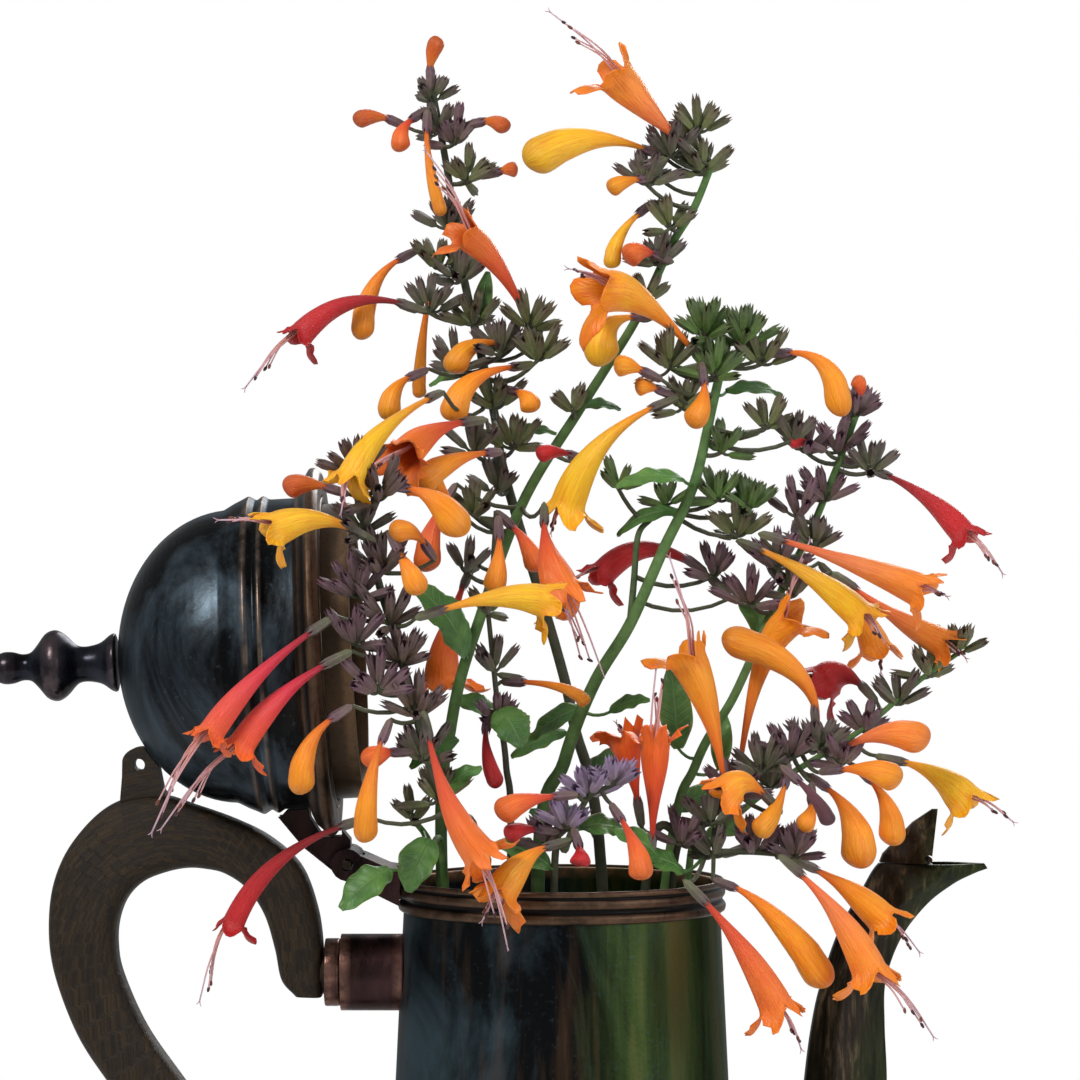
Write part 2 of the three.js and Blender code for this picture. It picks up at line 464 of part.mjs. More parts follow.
// [name or "", stem, colour, tube width at the mouth, base, bend, mouth], points as [x, z, depth].
// A named one is a piece of its own, and the others are grown together with their stem.
const FLOWERS = [
  ["", "stem_1", "orange", 4.4, [-33, 357, 15], [-32.5, 361, 15], [-31, 366, 14]],
  ["", "stem_1", "orange", 4.6, [-42.8, 345, 13], [-47, 345.8, 12], [-52.3, 345, 11]],
  ["", "stem_1", "orange", 5, [-37, 345.5, 9], [-40, 342, 7], [-40.5, 337, 6]],
  ["", "stem_1", "yellow", 3.8, [-33.8, 343, 8], [-33, 333, 6], [-30, 321, 5]],
  ["", "stem_1", "orange", 4.4, [-20.3, 344.5, 12], [-17, 344.5, 11], [-13, 343, 10]],
  ["", "stem_1", "orange", 4, [-16.3, 332, 12], [-13.6, 332.6, 12], [-11, 333, 12]],
  ["flower_red_orange_high", "stem_1", "salmon", 7, [-8.5, 295, -2], [-15.5, 307.5, -6], [-24.3, 317.5, -11]],
  ["", "stem_1", "orange", 6, [-40, 310.5, 10], [-47.3, 303, 8], [-50.3, 290, 7]],
  ["flower_crimson_left", "stem_1", "red", 6, [-39.5, 299, 4], [-53, 299.3, 1], [-67, 291.5, -2]],
  ["", "stem_1", "orange", 3.6, [-33, 301.8, 20], [-35, 289, 21], [-35.8, 275.5, 21]],
  ["", "stem_1", "orange", 6, [-37.5, 281, 3], [-42, 277, 1], [-43.8, 270, 0]],
  ["", "stem_1", "orange", 6.4, [-15.8, 289.3, 0], [-23, 288, -4], [-28.3, 282, -6]],
  ["", "stem_1", "orange", 7.2, [-11.8, 283.3, -6], [-22.8, 279.3, -12], [-28, 269.8, -15]],
  ["flower_gold_left", "stem_1", "yellow", 7, [-33, 275.5, -34], [-44.5, 267.5, -50], [-54.3, 255, -60]],
  ["flower_salmon_frilly", "stem_1", "salmon", 8, [-24, 269.5, -21], [-32, 267, -28], [-40, 261.3, -38]],
  ["", "stem_1", "orange", 7, [-18.5, 261.8, -16], [-27.5, 259.5, -24], [-36.3, 254, -30]],
  ["", "stem_1", "orange", 6, [-26.8, 248.5, -10], [-31.5, 254, -14], [-35, 258.3, -16]],
  ["", "stem_9", "orange", 8, [-39.3, 253, -55], [-31.3, 249.5, -56], [-24.3, 241.3, -54]],
  ["", "stem_9", "orange", 5.6, [-58, 253, -50], [-64, 254, -50], [-69.8, 253, -50]],
  ["flower_gold_lid", "stem_9", "yellow", 7.4, [-52, 242.5, -55], [-61, 245, -57], [-71.8, 243.5, -59]],
  ["flower_magenta_upper", "stem_9", "red", 6, [-62, 217.5, -55], [-76, 206, -59], [-89.5, 190.5, -63]],
  ["flower_magenta_lower", "stem_9", "red", 6.6, [-58.3, 209.3, -54], [-70, 201, -55], [-81.5, 188, -56]],
  ["", "stem_9", "orange", 6.4, [-56.8, 195.8, -50], [-63.5, 188, -50], [-65.5, 176.3, -50]],
  ["", "stem_9", "orange", 6, [-44.8, 190.5, -53], [-48, 179, -55], [-49.5, 164.3, -55]],
  ["", "stem_9", "orange", 5.4, [-41.8, 187, -48], [-45, 186.5, -48.5], [-50.3, 185, -49]],
  ["flower_crimson_hinge", "stem_9", "red", 5.4, [-54, 168.8, -42], [-71, 159.5, -38], [-84.5, 142.8, -35]],
  ["flower_front_large", "stem_9", "salmon", 8.4, [-33.5, 191.3, -52], [-28.5, 175, -55], [-20.5, 160, -57]],
  ["flower_front_rim", "stem_11", "yellow", 8, [-3.3, 163.5, -44], [-9, 160, -47], [-15.5, 152.5, -50]],
  ["", "stem_11", "salmon", 6.6, [-1, 176, -41], [-9.5, 174.5, -43], [-16.4, 171.4, -45]],
  ["", "stem_11", "red", 4.6, [-5.3, 167.5, -37], [-10, 167.5, -39], [-14.3, 166.3, -41]],
  ["", "stem_11", "red", 5.4, [4, 164, -41], [4.6, 161, -43], [4.4, 158.5, -44]],
  ["", "stem_11", "salmon", 6.2, [14.5, 170.6, -38], [18.4, 163, -43], [20.3, 155, -46]],
  ["flower_upright", "stem_8", "salmon", 7.6, [22.5, 164.5, -30], [23, 177, -31], [23.3, 190, -32]],
  ["", "stem_8", "salmon", 7.4, [19, 174, -20], [17.5, 182, -21], [15.5, 190.3, -21]],
  ["flower_middle_tall", "stem_8", "orange", 8.6, [40.5, 180, -30], [37, 196, -31], [31.5, 211.3, -32]],
  ["", "stem_8", "orange", 8, [63.8, 192.3, -16], [58.5, 206.8, -17], [40, 216, -20]],
  ["flower_right_tall", "stem_8", "orange", 7.6, [44.6, 184.5, -14], [49.3, 206.8, -10], [57, 222.3, -10]],
  ["flower_right_gold", "stem_6", "yellow", 7.4, [49, 237.8, -8], [62, 231, -13], [76, 220.5, -16]],
  ["flower_right_long", "stem_6", "salmon", 7.6, [54.8, 240, -16], [73, 234, -24], [91, 227, -29]],
  ["", "stem_6", "orange", 7, [72.5, 228.3, -4], [84, 220.5, -7], [96, 213.5, -9]],
  ["", "stem_6", "orange", 7.6, [68, 230, 12], [74, 222, 14], [78.8, 213, 15]],
  ["", "stem_7", "red", 9, [75.5, 203, 2], [71, 206, 6], [66, 205.5, 8]],
  ["flower_crimson_right", "stem_6", "red", 6.4, [80.5, 256.5, 0], [91, 250.5, -3], [101.5, 241, -6]],
  ["", "stem_4", "orange", 6.8, [56, 286.8, -10], [65.8, 283.3, -12], [70, 270.8, -13]],
  ["", "stem_4", "orange", 6.4, [35.5, 280, -18], [35, 274, -20], [32, 268.3, -21]],
  ["", "stem_6", "salmon", 4, [73.8, 275, 2], [74.6, 278, 2], [73.3, 281, 2]],
  ["", "stem_6", "red", 4, [62, 263.8, -4], [59.4, 264.6, -5], [56.8, 265, -5]],
  ["flower_top", "stem_2", "salmon", 8.6, [30, 339.3, -8], [22.5, 346.5, -11], [13.3, 356, -14]],
  ["bud_top_gold", "stem_2", "yellow", 9.6, [21.3, 337.5, -4], [6, 340, -8], [-9.3, 334.3, -12]],
  ["", "stem_2", "orange", 4.6, [19.8, 330.3, -6], [15.5, 329.4, -8], [11.3, 327.8, -9]],
  ["", "stem_2", "yellow", 4.4, [19.8, 322, -2], [14.5, 316, -4], [12, 308, -6]],
  ["", "stem_2", "orange", 6, [23.5, 311.3, -5], [19.5, 312, -7], [15.5, 310.8, -9]],
  ["flower_centre_large", "stem_4", "yellow", 10, [32.8, 287.5, -12], [21.3, 298.5, -17], [10, 303.8, -22]],
  ["", "stem_2", "yellow", 9.2, [18.5, 295.8, -5], [11, 292.5, -7], [9.5, 283.3, -8]],
  ["", "stem_4", "orange", 5.4, [20.8, 282, -18], [17, 283.4, -19], [13, 284, -20]],
  ["", "stem_4", "orange", 4.6, [24.5, 277.5, -14], [21.5, 278.4, -15], [18.3, 278.6, -16]],
  ["flower_centre_gold", "stem_4", "yellow", 8, [23.5, 273.5, -14], [10, 264, -15], [-0.3, 248, -12]],
  ["", "stem_1", "orange", 5.6, [-12, 277.3, -2], [-9, 275.6, -4], [-7, 272, -5]],
  ["", "stem_2", "red", 4.4, [2.5, 261.3, -4], [-2, 262, -6], [-6.5, 261.3, -7]],
  ["", "stem_3", "orange", 6, [-15.8, 241.3, -26], [-16, 234, -28], [-17.3, 226.8, -29]],
  ["flower_centre_salmon", "stem_2", "salmon", 9.4, [-4.5, 244.8, -24], [-3.5, 237, -30], [-0.3, 227.5, -34]],
  ["", "stem_9", "yellow", 7, [-30.8, 222.3, -54], [-17, 225.5, -50], [-4, 225.5, -46]],
  ["", "stem_3", "salmon", 5.2, [-13, 244, -12], [-9, 239, -13], [-6, 232, -14]],
  ["flower_crimson_centre", "stem_5", "red", 6.6, [38, 229.8, 3], [23.5, 237.6, 5], [8.3, 232.8, 4]],
  ["", "stem_2", "salmon", 7, [-29, 250, -1], [-32.5, 242, -2], [-34.5, 232, -2]],
  ["", "stem_2", "salmon", 8.6, [-24.3, 229.5, 12], [-28.5, 217, 15], [-30.5, 204.8, 17]],
  ["", "stem_9", "orange", 5.6, [-34, 238.5, -50], [-38, 242, -54], [-43, 242, -57]],
  ["", "stem_9", "orange", 6, [-41.3, 238, -56], [-38.4, 232.6, -58], [-35, 226.5, -59]],
  ["", "stem_3", "orange", 3.6, [-10.5, 204.5, -17], [0, 203, -20], [6.5, 199, -22]],
  ["", "stem_3", "red", 4.6, [-19, 193, -20], [-18.6, 186, -22], [-16, 178, -23]],
  ["", "stem_8", "salmon", 8, [71, 188.3, -24], [81, 191.5, -27], [92, 190, -30]],
  ["", "stem_8", "orange", 7, [69, 182.5, -30], [77, 182.4, -32], [85, 180, -34]],
  ["flower_right_low_gold", "stem_7", "yellow", 8, [84.3, 184.8, -14], [93, 181.5, -15], [101, 175.5, -16]],
  ["", "stem_8", "orange", 9, [65.5, 178.5, -17], [72.5, 170, -18], [74.8, 157.8, -19]],
  ["", "stem_7", "orange", 6.8, [76.5, 180.5, -12], [81.5, 173, -14], [82.8, 163.5, -15]],
  ["", "stem_8", "orange", 8, [51, 176, -33], [46.5, 179, -35], [42, 178.5, -36]],
  ["", "stem_8", "orange", 6, [55.8, 179.3, -30], [53, 172, -33], [48.3, 166.5, -35]],
  ["", "stem_8", "orange", 5.2, [62.5, 175, -26], [61.8, 171, -28], [59.5, 167.5, -29]],
  ["", "stem_8", "red", 4, [58.5, 180.3, -38], [63.5, 175, -40], [67.3, 168.8, -41]],
  ["", "stem_12", "orange", 8, [42.3, 153.5, -32], [53.5, 145.3, -30], [66.8, 128.5, -28]],
  ["flower_right_low_red", "stem_12", "salmon", 7.6, [35, 150.3, -43], [44.8, 138.3, -43], [54.5, 122.5, -42]],
  ["flower_right_low_salmon", "stem_12", "salmon", 8.4, [59, 157, -33], [69, 146, -35], [78, 131.3, -37]],
  ["", "stem_12", "orange", 7.4, [62.5, 158, -24], [71, 153, -22], [80.5, 145.3, -21]],
];

const CALYX = { length: 8.5, foot: 0.9, mouth: 1.9 };

function nearestOn(route, point) {
  return route.reduce((best, p) => (p.distanceTo(point) < best.distanceTo(point) ? p : best));
}

// The stalk and calyx of a flower: it leaves its stem, turns into the flower's own line and widens to its mouth.
function stalkAndCalyx(base, bend, route) {
  const foot = base.clone().add(base.clone().sub(bend).setLength(CALYX.length));
  return [
    [nearestOn(route, foot), 0.6],
    [foot, CALYX.foot],
    [base, CALYX.mouth],
  ];
}

// The corolla: a tube from the calyx that widens to its mouth and ends in a low dome.
function corolla(base, bend, mouth, width) {
  const half = width / 2;
  const middle = smooth([base, bend, mouth], 2)[1];
  const tip = mouth.clone().add(mouth.clone().sub(bend).setLength(width * 0.35));
  return [
    [base, 0.8],
    [middle, half * 0.8],
    [mouth, half],
    [tip, half * 0.45],
  ];
}

const limbOf = (stations, sides) => solidOf(limb(stations.map((s) => s[0]), stations.map((s) => s[1]), sides));

// ---------------------------------------------------------------- leaves

// [name or "", stem, width, base, tip], points as [x, z, depth].
const LEAVES = [
  ["", "stem_4", 5.5, [30.3, 255, -13], [13.5, 253, -16]],
  ["", "stem_2", 4, [4, 273, 8], [14.5, 272.5, 11]],
  ["", "stem_1", 4, [-13.5, 266, 16], [-1.5, 266.5, 18]],
  ["", "stem_1", 4, [-20, 296, 13], [-18.5, 307, 14]],
  ["", "stem_1", 4, [-21, 281, 16], [-33, 278.5, 18]],
  ["leaf_big_blue_green", "stem_2", 11, [-24, 211, 0], [-38, 229, -8]],
  ["", "stem_4", 5, [12, 197, -12], [22, 200, -15]],
  ["leaf_right_upright", "stem_6", 8, [29, 188, 9], [27, 208, 10]],
  ["", "stem_6", 5, [39.5, 183, 8], [40.5, 197, 10]],
  ["leaf_long_middle", "stem_1", 6, [1, 192, 17], [-12.5, 185.5, 18]],
  ["", "stem_3", 9, [-15.6, 197.6, -21], [-10, 188, -25]],
  ["leaf_bright_front", "stem_10", 9, [-43, 157.5, -38], [-55, 147.5, -42]],
  ["leaf_front_left", "stem_10", 9, [-33, 165, -38], [-38.5, 152, -42]],
  ["", "stem_11", 7, [4.5, 168, -31], [16, 167, -27]],
  ["", "stem_4", 5, [41, 277, -3], [55, 276, 2]],
];

// A thin blade, widest a little below the middle, lying across the line of its stem.
function leafBlade(base, tip, width) {
  const along = tip.clone().sub(base);
  const up = Math.abs(along.x) > Math.abs(along.z) ? v3(0, -0.55, 0.85) : v3(0.85, -0.55, 0);
  const side = up.addScaledVector(along, -up.dot(along) / along.lengthSq()).normalize();
  const thick = along.clone().cross(side).normalize().multiplyScalar(0.3);
  const rings = [[0, 0.12], [0.22, 0.8], [0.45, 1], [0.75, 0.66], [1, 0.08]].map(([t, share]) => {
    const middle = base.clone().addScaledVector(along, t);
    const reach = side.clone().multiplyScalar((width / 2) * share);
    return [
      middle.clone().add(reach),
      middle.clone().add(thick),
      middle.clone().sub(reach),
      middle.clone().sub(thick),
    ];
  });
  return loft(rings);
}

// ---------------------------------------------------------------- putting the sprigs together

const routes = {};
const sprigs = {};
for (const [name, { radii, route, branchOf }] of Object.entries(STEMS)) {
  const line = smooth(route.map(sprigPoint), route.length);
  const share = (i) => i / (line.length - 1);
  const widths = line.map((_, i) => radii[0] + (radii[1] - radii[0]) * share(i));
  routes[name] = smooth(line, 60).slice(branchOf ? 0 : 12);
  sprigs[name] = solidOf(limb(line, widths, 5));
}

for (const [name, stem, colour, width, ...points] of FLOWERS) {
  const [base, bend, mouth] = points.map(sprigPoint);
  const calyx = stalkAndCalyx(base, bend, routes[stem]);
  if (name) {
    const start = base.clone().add(bend.clone().sub(base).setLength(GAP));
    place(name, limbOf(corolla(start, bend, mouth, width), 6), FINISH[colour]);
    sprigs[stem] = sprigs[stem].add(limbOf(calyx, 4));
  } else {
    sprigs[stem] = sprigs[stem].add(limbOf([...calyx, ...corolla(base, bend, mouth, width).slice(1)], 4));
  }
}

for (const [name, stem, width, ...points] of LEAVES) {
  const [base, tip] = points.map(sprigPoint);
  const join = nearestOn(routes[stem], base);
  const back = base.clone().sub(tip).setLength(name ? GAP : -1);
  sprigs[stem] = sprigs[stem].add(solidOf(limb([join, base.clone().add(back)], [0.6, 0.45], 3)));
  const blade = solidOf(leafBlade(base, tip, width));
  if (name) place(name, blade, FINISH.leaf);
  else sprigs[stem] = sprigs[stem].add(blade);
}

sprigs.stem_4 = sprigs.stem_4.add(sprigs.stem_5);
delete sprigs.stem_5;
for (const [name, sprig] of Object.entries(sprigs)) place(name, sprig, STEMS[name].finish);

export default object;
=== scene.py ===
"""Agastache in vase: the looks of flowering agastache stems in an old patinated coffee pot.

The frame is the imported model's: +Z up, +X to the spout, -X to the handle, -Y the front, and the origin on the
pot's axis at its base. Shapes are numpy grids worked out in millimetres and made in metres, and each function
says its formula.
"""

import json
import math

import bmesh
import bpy
import numpy as np
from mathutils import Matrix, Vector


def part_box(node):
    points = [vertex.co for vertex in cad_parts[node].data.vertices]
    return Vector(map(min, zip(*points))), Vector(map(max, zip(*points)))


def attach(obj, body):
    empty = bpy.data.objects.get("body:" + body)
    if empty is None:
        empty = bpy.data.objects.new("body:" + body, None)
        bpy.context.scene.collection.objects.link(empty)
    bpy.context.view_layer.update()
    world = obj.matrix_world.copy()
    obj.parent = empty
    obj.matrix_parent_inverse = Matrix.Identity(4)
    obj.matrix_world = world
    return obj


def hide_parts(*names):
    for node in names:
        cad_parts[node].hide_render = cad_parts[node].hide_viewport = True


bl_info = {
    "name": "Agastache in a coffee pot",
    "version": (1, 0, 0),
    "blender": (4, 5, 0),
    "location": "3D View > Sidebar > Agastache",
    "description": "Builds cut agastache in an old patinated coffee pot",
    "category": "Add Mesh",
}

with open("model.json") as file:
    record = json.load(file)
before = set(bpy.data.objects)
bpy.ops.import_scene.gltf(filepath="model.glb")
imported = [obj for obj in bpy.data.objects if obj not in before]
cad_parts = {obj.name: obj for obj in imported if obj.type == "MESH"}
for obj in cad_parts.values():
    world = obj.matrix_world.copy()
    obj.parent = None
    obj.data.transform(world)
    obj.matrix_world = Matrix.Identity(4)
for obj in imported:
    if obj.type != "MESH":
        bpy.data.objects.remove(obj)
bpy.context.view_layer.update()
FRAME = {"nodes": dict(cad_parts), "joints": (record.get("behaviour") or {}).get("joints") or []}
MM = 0.001
EYE = np.array([-5.5, -950.0, 240.0])  # the front elevation's viewing point, in millimetres


# ------------------------------------------------------------------ sizes read from the frame


def box_mm(node):
    """A node's lowest and highest corner in millimetres."""
    low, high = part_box(node)
    return np.array(low) / MM, np.array(high) / MM


POT_LOW, POT_HIGH = box_mm("pot_body")
RIM_LOW, RIM_HIGH = box_mm("rim_moulding")
FOOT_LOW, FOOT_HIGH = box_mm("foot_ring")
JOINTS = {joint["name"]: np.array(joint["pos_m"]) / MM for joint in FRAME["joints"]}


# ------------------------------------------------------------------ sprig layout
# Points are [x, z, depth] in millimetres on the front elevation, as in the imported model's own layout.

STEMS = {
    "stem_1": ((1.5, 0.8), "dark", [[14, 12, 14], [10, 155, 12], [3, 194, 12], [-1.5, 213, 12], [-14, 255,
        12],
        [-17, 272, 12], [-22, 294, 12], [-26.5, 315, 13], [-28, 328, 14], [-30, 340, 15], [-32.3, 352, 15]]),
    "stem_2": ((1.6, 0.9), "green", [[-22, 12, 6], [-30, 155, 6], [-27.5, 195, 5], [-20, 222, 5], [-9.5,
        250, 4],
        [4, 272, 4], [11, 283, 3], [19, 296, 2], [27.5, 314, 0], [33, 323, -2], [37.5, 334, -4]]),
    "stem_3": ((1.0, 0.6), "dark", [[-18, 12, -14], [-13, 155, -17], [-14, 184, -16], [-16, 198, -17],
        [-18.5, 222, -18]]),
    "stem_4": ((1.8, 1.1), "green", [[-4, 12, 0], [-6, 155, -8], [0.7, 185, -8], [8, 204, -8], [17, 219, -8],
        [25.5, 238, -8], [33, 254, -8], [37.5, 273, -8], [40, 284, -8]]),
    "stem_5": ((0.9, 0.6), "dark", [[17, 219, -8], [18, 230, -5], [19, 241, -3], [22, 245, -2], [26, 248,
        -2]]),
    "stem_6": ((1.3, 0.8), "green", [[10, 12, 2], [26, 155, 3], [33.5, 184, 2], [43, 201, 2], [51.5, 220, 2],
        [57, 232, 2], [62.5, 243, 2], [69, 259, 2], [73.5, 271, 2]]),
    "stem_7": ((1.0, 0.6), "green", [[22, 12, -2], [31, 150, -2], [36, 163, -4], [52, 178, -6], [74, 192, -8],
        [89.5, 205, -8], [99.5, 212, -8]]),
    "stem_8": ((1.2, 0.8), "dark", [[16, 12, -12], [21, 155, -22], [32, 165, -23], [39.5, 174, -23],
        [49.5, 182, -23], [67, 190, -22]]),
    "stem_9": ((1.4, 0.8), "dark", [[-8, 12, -12], [-20, 155, -25], [-27, 169, -36], [-33, 184, -44],
        [-36.5, 197, -48], [-39.5, 208, -49], [-42, 217, -49], [-46, 230, -49], [-48.5, 243, -49],
        [-51, 258, -49]]),
    "stem_10": ((1.1, 0.7), "green", [[-24, 12, -6], [-29, 150, -14], [-33, 164, -26], [-37, 170, -32]]),
    "stem_11": ((1.0, 0.6), "dark", [[0, 12, -16], [-2, 150, -31], [1, 163, -35], [4, 171, -35], [7, 176,
        -35],
        [13, 179, -35]]),
    "stem_12": ((1.0, 0.6), "dark", [[26, 12, -8], [27.5, 152, -15], [36, 161, -23], [46, 162, -26],
        [58, 161, -26]]),
}

